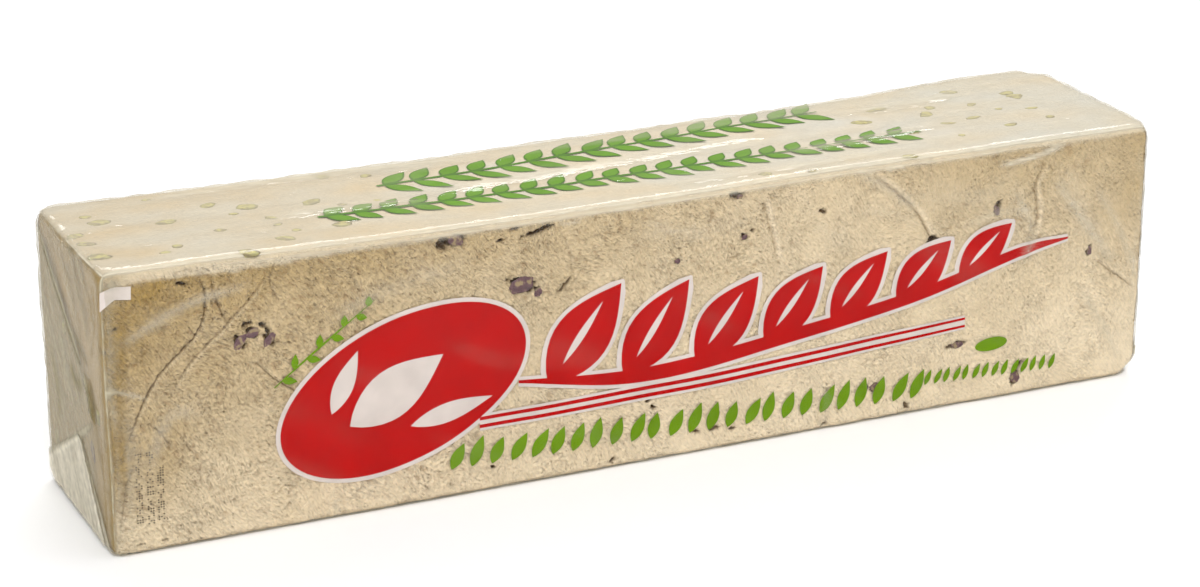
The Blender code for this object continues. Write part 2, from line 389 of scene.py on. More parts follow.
class HalvaColours(bpy.types.PropertyGroup):
    """Colours of the halva, the nuts and the inks, as sRGB hex"""

    halva: bpy.props.StringProperty(
        name="Halva", description="Dry pressed halva", default="F1DFC0")
    oily: bpy.props.StringProperty(
        name="Oily halva", description="Halva where the sesame oil has come out", default="A38547")
    # Milky grey painted on the top: partly the film's haze, partly painted reflection
    haze: bpy.props.StringProperty(
        name="Dulled halva", description="Milky grey of the pressed top", default="CBC9C0")
    pore: bpy.props.StringProperty(
        name="Pore", description="Inside of a pore", default="85581E")
    crack: bpy.props.StringProperty(
        name="Crack", description="Bottom of a crack or pit", default="5C4014")
    skin: bpy.props.StringProperty(
        name="Nut skin", description="Purple skin of a pistachio", default="64464A")
    flesh: bpy.props.StringProperty(
        name="Nut flesh", description="Green flesh of a pistachio", default="C2B76C")
    flesh_rim: bpy.props.StringProperty(
        name="Nut rim", description="Edge of a cut pistachio", default="A09A66")
    # The film's milk, also the colour of its painted sheen and highlights
    film: bpy.props.StringProperty(
        name="Film", description="Milky creases of the clear film", default="DCD4BF")
    film_doubled: bpy.props.StringProperty(
        name="Doubled film", description="Milk of the film where a flap lies on it", default="F6EFDC")
    # Film over oily halva, also the colour of the painted shade in the end's creases
    film_shade: bpy.props.StringProperty(
        name="Film on oil", description="Film that clings to oily halva", default="7C7142")
    red: bpy.props.StringProperty(
        name="Red ink", description="Main print", default="B40606")
    white: bpy.props.StringProperty(
        name="White ink", description="Outlines and small motifs", default="D8CDC6")
    green: bpy.props.StringProperty(
        name="Green ink", description="Small print on the front", default="6B9112")
    green_top: bpy.props.StringProperty(
        name="Green ink on top", description="Leaves on top", default="609400")
    green_rim: bpy.props.StringProperty(
        name="Green rim on top", description="Edges of the leaves on top", default="487C08")
    dark: bpy.props.StringProperty(
        name="Dark ink", description="Rows of dots", default="4A4034")
    floor: bpy.props.StringProperty(
        name="Floor", description="Pale studio paper", default="F7F7F7")


# ---------------------------------------------------------------- helpers

def linear(code):
    """Turns an sRGB hex colour into the linear RGBA that shaders take."""
    channels = [int(code[i:i + 2], 16) / 255 for i in (0, 2, 4)]
    return [c / 12.92 if c <= 0.04045 else ((c + 0.055) / 1.055) ** 2.4 for c in channels] + [1.0]


def add_node(tree, kind, settings=None, links=None):
    """Adds a node, sets its own properties, and gives each named or numbered input a value or a link."""
    node = tree.nodes.new(kind)
    for name, value in (settings or {}).items():
        setattr(node, name, value)
    for key, value in (links or {}).items():
        socket = node.inputs[key]
        if isinstance(value, bpy.types.NodeSocket):
            tree.links.new(value, socket)
        else:
            socket.default_value = value
    return node.outputs[0] if node.outputs else node


def new_material(name):
    """An empty node material, ready for a shader."""
    material = bpy.data.materials.new(name)
    material.use_nodes = True
    material.node_tree.nodes.clear()
    return material, material.node_tree


def select_nothing():
    """Goes back to object mode and deselects every object, so that a new one can be added."""
    if bpy.context.object and bpy.context.object.mode != "OBJECT":
        bpy.ops.object.mode_set(mode="OBJECT")
    bpy.ops.object.select_all(action="DESELECT")


def select_only(*chosen):
    """Selects the given objects and nothing else, and makes the first one active."""
    select_nothing()
    for piece in chosen:
        piece.select_set(True)
    bpy.context.view_layer.objects.active = chosen[0]


def points_of(mesh, layer="co"):
    """The mesh's points, or their normals, as rows of three numbers."""
    points = np.empty(len(mesh.vertices) * 3)
    mesh.vertices.foreach_get(layer, points)
    return points.reshape(-1, 3)


def set_points(mesh, points):
    """Moves the mesh's points."""
    mesh.vertices.foreach_set("co", points.reshape(-1))
    mesh.update()


def set_value(mesh, name, values):
    """Stores one number for each point, which a material reads by name."""
    layer = mesh.attributes.new(name, "FLOAT", "POINT")
    layer.data.foreach_set("value", np.asarray(values, dtype=np.float32))


def noise_at(points, size, seed):
    """Smooth noise, about -1 to 1, with hills of the given size; size may differ along X, Y and Z."""
    scaled = points / np.asarray(size) + np.array((17.3, 5.1, 9.7)) * seed
    return np.array([noise.noise(p) for p in scaled.tolist()])


def smooth_step(low, high, values):
    """Rises smoothly from 0 at low to 1 at high, which may be the smaller of the two."""
    t = np.clip((values - low) / (high - low), 0.0, 1.0)
    return t * t * (3 - 2 * t)


def smooth_path(points, per_span=8):
    """A smooth curve through a few points."""
    points = np.array(points, dtype=float)
    ends = np.vstack((2 * points[0] - points[1], points, 2 * points[-1] - points[-2]))
    steps = np.linspace(0, 1, per_span, endpoint=False)[:, None]
    spans = []
    for a, b, c, d in zip(ends, ends[1:], ends[2:], ends[3:]):
        spans.append(0.5 * (2 * b + (c - a) * steps + (2 * a - 5 * b + 4 * c - d) * steps ** 2
                            + (3 * b - a - 3 * c + d) * steps ** 3))
    return np.vstack(spans + [points[-1:]])


def path_distance(flat, path):
    """Each point's distance from a path, the side it lies on, and how far along it is from 0 to 1."""
    start, run = path[:-1], np.diff(path, axis=0)
    best = np.full(len(flat), 1e9)
    side, along = np.zeros(len(flat)), np.zeros(len(flat))
    for i, (a, d) in enumerate(zip(start, run)):
        to = flat - a
        t = np.clip(to @ d / (d @ d), 0, 1)
        gap = to - t[:, None] * d
        distance = np.hypot(gap[:, 0], gap[:, 1])
        nearer = distance < best
        best[nearer] = distance[nearer]
        side[nearer] = np.sign(d[0] * to[nearer, 1] - d[1] * to[nearer, 0])
        along[nearer] = (i + t[nearer]) / len(run)
    return best, side, along


def join_to_block(piece):
    """Hands a finished piece to the block's one body."""
    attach(piece, "root")


# ---------------------------------------------------------------- the settled form

def bump(place, centre, reach):
    """A smooth hill of height 1 that ends at reach on each side of centre."""
    along = np.clip((place - centre) / reach, -1.0, 1.0)
    return 0.5 * (1.0 + np.cos(np.pi * along))


def hill(shape, place):
    """Height of one named unevenness at places along the block."""
    height, centre, reach = shape
    return height * bump(place, centre, reach)


def top_rise(along, across):
    """How far the top stands above its mean level; along and across run from -1 to 1."""
    back = 0.5 * (1.0 + across)
    back_rise = hill(BACK_DIP, along) + hill(BACK_HUMP, along)
    return back * back_rise + (1 - back) * hill(FRONT_SAG, along)


def settle(points):
    """Moves points of the true bar to where they lie on the uneven block."""
    middle = np.array((0.0, 0.0, HEIGHT / 2))
    half = np.array((LENGTH, WIDTH, HEIGHT)) / 2
    for side, radius in CORNER_RADII.items():
        side = np.array(side)
        centre = middle + side * (half - radius)
        out = side * (points - centre) / radius
        reach = np.linalg.norm(out, axis=1)
        near = (out.min(axis=1) > 0) & (reach > 1)
        inside = np.minimum(out[near].min(axis=1), 1.0)
        pull = 1.0 - inside * (1.0 - 1.0 / reach[near])
        points[near] = centre + side * out[near] * pull[:, None] * radius
    along, across, up = 2 * points[:, 0] / LENGTH, 2 * points[:, 1] / WIDTH, points[:, 2] / HEIGHT
    swell = np.sin(np.pi * np.clip(up, 0, 1))
    points[:, 0] += END_SWELL * along * swell * bump(across, 0.0, 1.2)
    points[:, 1] += SIDE_SWELL * across * swell * bump(along, 0.0, 1.0)
    points[:, 2] += up * top_rise(along, across)
    for axis, (size, seed) in enumerate(((40, 61), (30, 62), (34, 63))):
        free = np.clip(4 * up, 0, 1) if axis == 2 else 1.0
        points[:, axis] += 0.35 * MM * free * noise_at(points, size * MM, seed)
    return points


def bar(name, inset, radius, segments, cell):
    """A bar with rounded edges, cut into cells: the start of the halva and of the film."""
    size = Vector((LENGTH, WIDTH, HEIGHT)) - Vector((2 * inset,) * 3)
    select_nothing()
    bpy.ops.mesh.primitive_cube_add(size=1.0, location=(0, 0, HEIGHT / 2), scale=size)
    piece = bpy.context.object
    piece.name = piece.data.name = name
    bpy.ops.object.transform_apply(location=True, rotation=True, scale=True)
    bpy.ops.object.mode_set(mode="EDIT")
    bpy.ops.mesh.select_all(action="SELECT")
    bpy.ops.mesh.bevel(offset=radius, segments=segments, profile=0.5, affect="EDGES")
    for axis in range(3):
        mesh = bmesh.from_edit_mesh(piece.data)
        for edge in mesh.edges:
            run = edge.verts[1].co - edge.verts[0].co
            edge.select = abs(run[axis]) > 0.99 * run.length and run.length > 5 * radius
        cuts = max(1, round((size[axis] - 2 * radius) / cell) - 1)
        bpy.ops.mesh.subdivide(number_cuts=cuts)
    bpy.ops.object.mode_set(mode="OBJECT")
    return piece


def refine(piece, chosen):
    """Cuts the chosen faces in four."""
    select_only(piece)
    bpy.ops.object.mode_set(mode="EDIT")
    bpy.ops.mesh.select_mode(type="FACE")
    bpy.ops.mesh.select_all(action="DESELECT")
    mesh = bmesh.from_edit_mesh(piece.data)
    mesh.faces.ensure_lookup_table()
    for index in np.flatnonzero(chosen):
        mesh.faces[index].select_set(True)
    bpy.ops.mesh.subdivide(number_cuts=1)
    bpy.ops.object.mode_set(mode="OBJECT")


def face_centres(mesh):
    """The middle of each face, as rows of three numbers."""
    centres = np.empty(len(mesh.polygons) * 3)
    mesh.polygons.foreach_get("center", centres)
    return centres.reshape(-1, 3)


# ---------------------------------------------------------------- halva

def on_front(points, reach=4.0 * MM):
    """Which points lie within reach of the front."""
    return points[:, 1] < -WIDTH / 2 + reach


def front_marks(points):
    """At points of the front: depth of cracks and pits, how dark their bottoms are with stain and painted
    shade, and the painted highlight on their lips.
    """
    flat = points[:, [0, 2]] / MM
    depth, stain, lip_highlight = np.zeros(len(flat)), np.zeros(len(flat)), np.zeros(len(flat))
    waver = 0.35 * noise_at(points, 4.0 * MM, 1) + 0.10 * noise_at(points, 1.2 * MM, 14)
    for path, width, deep, dark, ridge_height in FRONT_CRACKS:
        path = smooth_path(path)
        near = np.flatnonzero(np.all((flat > path.min(0) - 5) & (flat < path.max(0) + 5), axis=1))
        distance, side, along = path_distance(flat[near], path)
        distance = np.abs(distance * side + waver[near])
        fade = np.minimum(1.0, 6 * np.minimum(along, 1 - along) + 0.15)
        groove = 1.2 * deep * fade * np.exp(-(distance / (0.65 * width)) ** 2)
        beyond = (distance - 1.9 * width) / (1.4 * width)
        lip = 1.3 * ridge_height * fade * (side > 0) * np.exp(-beyond ** 2)
        depth[near] += groove - lip
        # The raised lip takes a painted highlight
        lip_highlight[near] = np.maximum(lip_highlight[near], lip)
        # The bottom is painted dark: partly stain, partly painted shade
        stain[near] = np.maximum(stain[near], dark * groove / deep)
    ragged = noise_at(points, 1.4 * MM, 2) + 0.6 * noise_at(points, 0.7 * MM, 3)
    for x, z, long, short, turn, deep in FRONT_PITS:
        near = np.flatnonzero(np.hypot(flat[:, 0] - x, flat[:, 1] - z) < long)
        angle = math.radians(turn)
        u = (flat[near, 0] - x) * math.cos(angle) + (flat[near, 1] - z) * math.sin(angle)
        v = (flat[near, 1] - z) * math.cos(angle) - (flat[near, 0] - x) * math.sin(angle)
        reach = np.hypot(2 * u / long, 2 * v / short) + 0.40 * ragged[near]
        hollow = smooth_step(1.15, 0.75, reach)
        depth[near] = np.maximum(depth[near], deep * hollow)
        # Deeper pits are painted darker: partly stain, partly painted shade
        stain[near] = np.maximum(stain[near], hollow * min(1.0, 0.3 + 0.4 * deep))
    return depth * MM, stain, lip_highlight


def torn_crumbs(points):
    """Short ridges and pits, about -1 to 1, along the slanting direction the mass was pulled in."""
    drift = np.column_stack([noise_at(points, 26 * MM, seed) for seed in (15, 16, 17)]) * 9 * MM
    turn = math.radians(PULL_TURN)
    pulled = points + drift
    along = pulled[:, 0] * math.cos(turn) - pulled[:, 2] * math.sin(turn)
    across = pulled[:, 0] * math.sin(turn) + pulled[:, 2] * math.cos(turn)
    turned = np.column_stack((along, pulled[:, 1], across))
    coarse = noise_at(turned, (3.6 * MM, 2.0 * MM, 1.5 * MM), 6)
    return 0.5 * coarse + 0.9 * noise_at(turned, (2.1 * MM, 1.2 * MM, 0.95 * MM), 18)


def halva_relief(points, normals, crumbs, rough):
    """How far the pressed surface stands out: lumps, crumbs and worn edges."""
    lumps = 0.20 * noise_at(points, 14 * MM, 4) + 0.10 * noise_at(points, 5 * MM, 5)
    edge = smooth_step(0.98, 0.75, np.abs(normals).max(axis=1))
    chips = 0.45 * edge * noise_at(points, 6 * MM, 7) - 0.25 * edge
    pits = -0.60 * smooth_step(0.10, 0.55, -crumbs) + 0.25 * crumbs
    return (lumps + rough * pits + chips) * MM


def highlight_rim_height(points):
    """Height in millimetres above which the front's upper edge takes a painted highlight; ragged, and lower
    at the left.
    """
    left = smooth_step(-110 * MM, -170 * MM, points[:, 0])
    return 106.6 - 2.6 * left + (0.5 + 0.9 * left) * noise_at(points, 6 * MM, 19)


def halva_oil_and_painted_light(points):
    """How far the halva is darkened, from 0 to 1.25, most at the upper left of the front: partly sesame oil,
    partly painted shade; the front's upper rim is kept light as a painted highlight.
    """
    across, up = points[:, 0] / LENGTH + 0.5, np.clip(points[:, 2] / HEIGHT, 0, 1)
    left = 1 - across
    # Darker towards the top and the left of the front: partly oil, partly painted shade, as the front is lit
    # more from the floor and the right
    oil = 0.08 + 0.26 * up + left ** 2 * (0.10 + 0.66 * up)
    oil += 0.30 * up ** 2 * smooth_step(0.62, 0.90, across)
    oil += 0.15 * smooth_step(0.930, 0.985, across) * smooth_step(0.15, 0.5, up)
    oil += 0.25 * smooth_step(0.085, 0.045, across) * bump(up, 0.33, 0.26)
    oil += 0.10 * noise_at(points, 32 * MM, 8) + 0.08 * noise_at(points, 9 * MM, 9)
    front = smooth_step(-WIDTH / 2 + 8 * MM, -WIDTH / 2 + 3 * MM, points[:, 1])
    ends = smooth_step(LENGTH / 2 - 1.6 * MM, LENGTH / 2 - 0.7 * MM, np.abs(points[:, 0]))
    # Above the rim the front is kept light: a painted highlight
    pale = smooth_step(-0.8, 0.8, points[:, 2] / MM - highlight_rim_height(points))
    # The ends are oily under the film, more so below the long fold and most along the front's edge
    depth = -np.sign(points[:, 0]) * points[:, 1] / MM
    below = smooth_step(-2, 2, LONG_FOLD_SLOPE * depth + LONG_FOLD_HEIGHT - points[:, 2] / MM)
    upright = smooth_step(-18, -34, depth + 1.5 * noise_at(points, 11 * MM, 52))
    hanging = points @ np.array(((1, 0, 0), (0, 1, 0.75), (0, -0.75, 1)))
    streaks = 1 + 0.7 * noise_at(hanging, (40 * MM, 3.5 * MM, 36 * MM), 55)
    ends = ends * (0.62 + 0.20 * below + 0.55 * upright) * streaks
    strip = front * smooth_step(-LENGTH / 2 + 11 * MM, -LENGTH / 2 + 5 * MM, points[:, 0])
    ends += 0.30 * strip * smooth_step(0.10, 0.35, up)
    body = oil * (0.45 + 0.55 * front) * (1 - 0.7 * pale * front)
    return np.clip(body + 0.12 * (1 - front) + ends, 0, 1.25)


def top_haze_and_reflection(points):
    """Where a milky grey is painted onto the top, from 0 to 1, most towards the right: partly the film's
    haze, partly painted reflection of the bright surroundings.
    """
    top = smooth_step(HEIGHT - 2.5 * MM, HEIGHT - 0.8 * MM, points[:, 2])
    right = smooth_step(-60 * MM, 120 * MM, points[:, 0])
    mottled = 0.45 * noise_at(points, (34 * MM, 13 * MM, 1), 53) + 0.15 * noise_at(points, 8 * MM, 54)
    return np.clip(top * (0.32 + 0.26 * right + mottled), 0, 0.9)


def halva_smear(points):
    """Where the pressed surface was smeared smooth, from 0 to 1; past 1 it shows no pores at all."""
    slant = points @ np.array(((1, 0, 0.7), (0, 1, 0), (-0.7, 0, 1)))
    bands = noise_at(slant, (16 * MM, 20 * MM, 42 * MM), 10) + 0.5 * noise_at(points, 9 * MM, 11)
    right = smooth_step(-110 * MM, 90 * MM, points[:, 0])
    lower = 1 - np.clip(points[:, 2] / HEIGHT, 0, 1)
    top = smooth_step(HEIGHT - 4 * MM, HEIGHT - 1.5 * MM, points[:, 2])
    calm = right * (0.35 + 0.30 * lower) + 0.40 * (1 - right) * lower ** 2
    ends = smooth_step(LENGTH / 2 - 2.0 * MM, LENGTH / 2 - 0.8 * MM, np.abs(points[:, 0]))
    sealed = np.maximum(top, ends)
    return np.clip(0.12 + calm + 0.55 * bands, 0, 1.0) * (1 - sealed) + 1.2 * sealed


def pore_layer(node, place, seed, turn, cell, width, rarity, mask):
    """Short slits of uneven size in the surface, one to a cell, turned about the block's cross axis."""
    turned = node("ShaderNodeMapping", {"vector_type": "TEXTURE"}, {
        "Vector": place, "Location": (seed, seed, seed),
        "Rotation": (0.0, math.radians(turn), 0.0), "Scale": [side * MM for side in cell]})
    cells = node("ShaderNodeTexVoronoi", None, {"Vector": turned, "Scale": 1.0}).node
    size = node("ShaderNodeMapRange", None, {
        "Value": cells.outputs["Color"], "From Min": rarity, "From Max": 0.85,
        "To Min": 0.08, "To Max": 1.0})
    reach = node("ShaderNodeMath", {"operation": "DIVIDE"}, {0: cells.outputs["Distance"], 1: size})
    slit = node("ShaderNodeMapRange", {"interpolation_type": "SMOOTHSTEP"}, {
        "Value": reach, "From Min": width, "From Max": 0.0, "To Min": 0.0, "To Max": 1.0})
    return node("ShaderNodeMath", {"operation": "MULTIPLY"}, {0: slit, 1: mask})


def halva_material(colours):
    """Pressed sesame halva: matte, crumbly and finely porous, darker where the oil has come out and where
    shade is painted, lighter where highlights are painted.
    """
    material, tree = new_material("pressed_halva")
    node = partial(add_node, tree)
    place = node("ShaderNodeTexCoord").node.outputs["Object"]
    oil, smear, stain, crumbs, haze = (
        node("ShaderNodeAttribute", {"attribute_name": name}).node.outputs["Fac"]
        for name in ("oil", "smear", "stain", "crumbs", "haze"))
    # The grain wanders over some centimetres, and every pore has a ragged rim of about a millimetre
    wander, ragged = (
        node("ShaderNodeTexNoise", None, {
            "Vector": place, "Scale": scale, "Detail": 0.0}).node.outputs["Color"]
        for scale in (38.0, 650.0))
    drifted = node("ShaderNodeVectorMath", {"operation": "MULTIPLY_ADD"}, {
        0: wander, 1: (16 * MM, 16 * MM, 16 * MM), 2: place})
    torn = node("ShaderNodeVectorMath", {"operation": "MULTIPLY_ADD"}, {
        0: ragged, 1: (0.9 * MM, 0.9 * MM, 0.9 * MM), 2: drifted})
    rough = node("ShaderNodeMath", {"operation": "SUBTRACT", "use_clamp": True}, {0: 1.0, 1: smear})
    least = node("ShaderNodeMapRange", None, {
        "Value": smear, "From Min": 1.0, "From Max": 1.2, "To Min": 0.28, "To Max": 0.0})
    grain = node("ShaderNodeMath", {"operation": "MULTIPLY_ADD"}, {0: rough, 1: 0.72, 2: least})
    deep = node("ShaderNodeMath", {"operation": "MULTIPLY_ADD"}, {0: grain, 1: 0.8, 2: 0.2})
    # Real pores are mostly under half a millimetre; these are drawn coarser, so that they show. The
    # large ones stand steep and the small ones lie flatter
    steep = pore_layer(node, torn, 0.31, 56, (2.2, 1.4, 0.80), 0.42, 0.40, grain)
    small = pore_layer(node, torn, 0.83, 34, (1.5, 1.0, 0.65), 0.42, 0.15, grain)
    slits = node("ShaderNodeMath", {"operation": "MAXIMUM"}, {0: steep, 1: small})
    # Torn sesame fibres: long crumbs and furrows along the direction the mass was pulled in
    pulled = node("ShaderNodeMapping", {"vector_type": "TEXTURE"}, {
        "Vector": drifted, "Rotation": (0.0, math.radians(PULL_TURN), 0.0),
        "Scale": (2.6 * MM, 1.2 * MM, 0.85 * MM)})
    furrow = node("ShaderNodeTexNoise", None, {
        "Vector": pulled, "Scale": 1.0, "Detail": 2.0, "Roughness": 0.6})
    crumb = node("ShaderNodeTexNoise", None, {"Vector": place, "Scale": 800.0, "Detail": 0.0})
    blotch = node("ShaderNodeTexNoise", None, {"Vector": place, "Scale": 110.0, "Detail": 1.0})
    # Dry halva, oily halva and the milky grey painted on top for the film's haze and reflection, mottled at
    # the size of a crumb
    # The oil mask also holds painted shade, and the painted highlight of the front's rim and the crack lips
    base = node("ShaderNodeMix", {"data_type": "RGBA"}, {
        0: oil, 6: linear(colours.halva), 7: linear(colours.oily)}).node.outputs[2]
    base = node("ShaderNodeMix", {"data_type": "RGBA"}, {
        0: haze, 6: base, 7: linear(colours.haze)}).node.outputs[2]
    # Painted relief shading: darker in the furrows and lighter on the crumbs, with random tone from the
    # blotches
    relief_shade_and_tone = node("ShaderNodeMapRange", None, {
        "Value": crumbs, "From Min": -0.1, "From Max": 0.6, "To Min": 0.97, "To Max": 1.12})
    clouds = node("ShaderNodeMapRange", None, {
        "Value": blotch, "From Min": 0.3, "From Max": 0.7, "To Min": 0.97, "To Max": 1.03})
    fine = node("ShaderNodeMapRange", None, {
        "Value": furrow, "From Min": 0.38, "From Max": 0.60, "To Min": 0.80, "To Max": 1.08})
    relief_shade_and_tone = node("ShaderNodeMath", {"operation": "MULTIPLY"}, {0: relief_shade_and_tone, 1: fine})
    relief_shade_and_tone = node("ShaderNodeMix", None, {0: deep, 2: 1.0, 3: relief_shade_and_tone})
    relief_shade_and_tone = node("ShaderNodeMath", {"operation": "MULTIPLY"}, {0: relief_shade_and_tone, 1: clouds})
    base = node("ShaderNodeVectorMath", {"operation": "SCALE"}, {0: base, "Scale": relief_shade_and_tone})
    # Pores and cracks hold shade and dark oil
    floor = node("ShaderNodeMath", {"operation": "MULTIPLY"}, {0: small, 1: 0.55})
    floor = node("ShaderNodeMath", {"operation": "MAXIMUM"}, {0: steep, 1: floor})
    floor = node("ShaderNodeMath", {"operation": "POWER"}, {0: floor, 1: 1.3})
    # Hollows between the crumbs take painted shade
    hollow = node("ShaderNodeMapRange", {"interpolation_type": "SMOOTHSTEP"}, {
        "Value": crumbs, "From Min": -0.05, "From Max": -0.60, "To Min": 0.0, "To Max": 0.30})
    shade = node("ShaderNodeMath", {"operation": "MULTIPLY"}, {0: floor, 1: 0.62})
    shade = node("ShaderNodeMath", {"operation": "MAXIMUM"}, {0: shade, 1: hollow})
    for share, colour in ((shade, colours.pore), (stain, colours.crack)):
        base = node("ShaderNodeMix", {"data_type": "RGBA"}, {
            0: share, 6: base, 7: linear(colour)}).node.outputs[2]
    height = node("ShaderNodeMath", {"operation": "ADD"}, {0: crumb, 1: furrow})
    height = node("ShaderNodeMath", {"operation": "MULTIPLY"}, {0: height, 1: deep})
    height = node("ShaderNodeMath", {"operation": "SUBTRACT"}, {0: height, 1: slits})
    normal = node("ShaderNodeBump", None, {"Strength": 1.0, "Distance": 1.0 * MM, "Height": height})
    sheen = node("ShaderNodeMapRange", None, {
        "Value": oil, "From Min": 0.0, "From Max": 1.0, "To Min": 0.85, "To Max": 0.55})
    shader = node("ShaderNodeBsdfPrincipled", None, {
        "Base Color": base, "Roughness": sheen, "IOR": 1.46, "Normal": normal})
    node("ShaderNodeOutputMaterial", None, {"Surface": shader})
    return material


class HALVA_OT_block(bpy.types.Operator):
    """Presses the halva: the uneven block with its cracks, pits and pores"""

    bl_idname = "halva.block"
    bl_label = "Halva block"

    def execute(self, context):
        sizes, colours = context.scene.halva_sizes, context.scene.halva_colours
        piece = bar("halva_mass", sizes.film_gap, sizes.halva_edge, 3, sizes.halva_cell)
        for _ in range(2):
            refine(piece, on_front(face_centres(piece.data)))
        for _ in range(2):
            centres = face_centres(piece.data)
            front = on_front(centres)
            marked = np.zeros(len(centres))
            depth, stain = front_marks(centres[front])[:2]
            marked[front] = np.maximum(stain, depth / MM)
            refine(piece, marked > MARKED)
        points = points_of(piece.data)
        normals = points_of(piece.data, "normal")
        front = on_front(points)
        depth, stain, lip_highlight = (np.zeros(len(points)) for _ in range(3))
        depth[front], stain[front], lip_highlight[front] = front_marks(points[front])
        crumbs, smear = torn_crumbs(points), halva_smear(points)
        rough = np.clip(1.15 - smear, 0.15, 1)
        out = halva_relief(points, normals, crumbs, rough)
        set_value(piece.data, "stain", stain)
        # The crack lips are lightened as a painted highlight
        set_value(piece.data, "oil", halva_oil_and_painted_light(points) - 0.3 * np.clip(lip_highlight, 0, 0.8))
        set_value(piece.data, "smear", smear)
        set_value(piece.data, "crumbs", crumbs * rough)
        set_value(piece.data, "haze", top_haze_and_reflection(points))
        # The film presses flat whatever stands out
        out = np.minimum(out - depth, FILM_PRESS)
        set_points(piece.data, settle(points) + normals * out[:, None])
        piece.data.materials.append(halva_material(colours))
        piece.data.shade_smooth()
        join_to_block(piece)
        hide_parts("wrapped_block")
        return {"FINISHED"}


# ---------------------------------------------------------------- pistachios

def nut_material(colours):
    """Pistachio: thin purple skin, worn off in places over green flesh, matte."""
    material, tree = new_material("pistachio_skin_and_flesh")
    node = partial(add_node, tree)
    place = node("ShaderNodeTexCoord").node.outputs["Object"]
    skin, rim = (
        node("ShaderNodeAttribute", {"attribute_name": name}).node.outputs["Fac"]
        for name in ("skin", "rim"))
    patch = node("ShaderNodeTexNoise", None, {"Vector": place, "Scale": 420.0, "Detail": 4.0})
    worn = node("ShaderNodeMapRange", None, {
        "Value": patch, "From Min": 0.44, "From Max": 0.58, "To Min": 0.35, "To Max": -0.35})
    covered = node("ShaderNodeMath", {"operation": "ADD", "use_clamp": True}, {0: skin, 1: worn})
    flesh = node("ShaderNodeMix", {"data_type": "RGBA"}, {
        0: rim, 6: linear(colours.flesh), 7: linear(colours.flesh_rim)}).node.outputs[2]
    tone = node("ShaderNodeMapRange", None, {
        "Value": patch, "From Min": 0.3, "From Max": 0.7, "To Min": 0.6, "To Max": 1.5})
    purple = node("ShaderNodeVectorMath", {"operation": "SCALE"}, {
        0: linear(colours.skin)[:3], "Scale": tone})
    base = node("ShaderNodeMix", {"data_type": "RGBA"}, {
        0: covered, 6: flesh, 7: purple}).node.outputs[2]
    bumps = node("ShaderNodeBump", None, {"Distance": 0.3 * MM, "Height": patch})
    shader = node("ShaderNodeBsdfPrincipled", None, {
        "Base Color": base, "Roughness": 0.6, "IOR": 1.47, "Normal": bumps})
    node("ShaderNodeOutputMaterial", None, {"Surface": shader})
    return material


def scattered_nuts(face, half_long, half_wide, count, seed):
    """Pistachio bits scattered over a field in the middle of a face, in the form of all_nuts."""
    draw = np.random.default_rng(seed)
    for _ in range(count):
        u, v = draw.uniform(-half_long, half_long), draw.uniform(-half_wide, half_wide)
        long, short, turn = draw.uniform(5, 10), draw.uniform(3, 5.5), draw.uniform(-60, 60)
        yield face, u, v, long, short, turn, 0.9 if draw.random() < SKINNED_SHARE else 0.1


def all_nuts():
    """Every pistachio: face, place, length and width in millimetres, turn in degrees, skin from 0 to 1."""
    draw = np.random.default_rng(11)
    nuts = [("front", *nut, 1.0) for nut in FRONT_NUTS]
    for x, y in TOP_SECTIONS:
        long = draw.uniform(3.5, 9)
        short, turn = long * draw.uniform(0.6, 0.85), draw.uniform(-40, 40)
        nuts.append(("top", x, y, long, short, turn, draw.uniform(0.0, 0.30)))
    for _ in range(TOP_RIGHT_NUTS):
        x, y = draw.uniform(118, 208), draw.uniform(-34, 30)
        long, short, turn = draw.uniform(3.5, 8), draw.uniform(3, 5), draw.uniform(-30, 30)
        nuts.append(("top", x, y, long, short, turn, 0.0))
    for field in SCATTERED_NUTS:
        nuts += scattered_nuts(*field)
    return nuts


def nut_place(face, u, v, gap):
    """A place on the halva's surface in metres, with the rotation that turns a nut's flat side outwards."""
    half_length, half_width = LENGTH / 2 - gap, WIDTH / 2 - gap
    return {
        "front": ((u * MM, -half_width, v * MM), (math.radians(90), 0, 0)),
        "back": ((u * MM, half_width, HEIGHT / 2 + v * MM), (math.radians(-90), 0, 0)),
        "top": ((u * MM, v * MM, HEIGHT - gap), (0, 0, 0)),
        "base": ((u * MM, v * MM, gap), (math.radians(180), 0, 0)),
        "left": ((-half_length, u * MM, HEIGHT / 2 + v * MM), (0, math.radians(-90), 0)),
        "right": ((half_length, u * MM, HEIGHT / 2 + v * MM), (0, math.radians(90), 0)),
    }[face]


def make_nut(pattern, number, nut, gap):
    """One pistachio: a copy of the pattern, made uneven, pressed flat outwards, sized, turned and placed."""
    face, u, v, long, short, turn, skin = nut
    piece = pattern.copy()
    piece.data = pattern.data.copy()
    bpy.context.collection.objects.link(piece)
    ball = points_of(piece.data)
    shift = ball + np.array((number * 1.7, 0, 0))
    ball *= 1 + 0.30 * noise_at(shift, 0.45, 12)[:, None] + 0.12 * noise_at(shift, 0.16, 13)[:, None]
    rim = np.clip(np.hypot(ball[:, 0], ball[:, 1]) * 2, 0, 1)
    ball[:, 2] = np.where(ball[:, 2] > 0, 0.14 * ball[:, 2], 0.5 * ball[:, 2])
    ball *= np.array((long, short, min(long, short))) * MM
    set_points(piece.data, ball)
    set_value(piece.data, "skin", np.full(len(ball), skin))
    set_value(piece.data, "rim", smooth_step(0.62, 0.95, rim))
    place, tilt = nut_place(face, u, v, gap)
    place = settle(np.array([place]))[0]
    piece.rotation_euler = tilt
    piece.location = place
    select_only(piece)
    bpy.ops.object.transform_apply(location=False, rotation=True, scale=False)
    axis = "XYZ"[FACES[face][0]]
    bpy.ops.transform.rotate(value=math.radians(-turn), orient_axis=axis, center_override=place)
    bpy.ops.object.transform_apply(location=True, rotation=True, scale=True)
    return piece


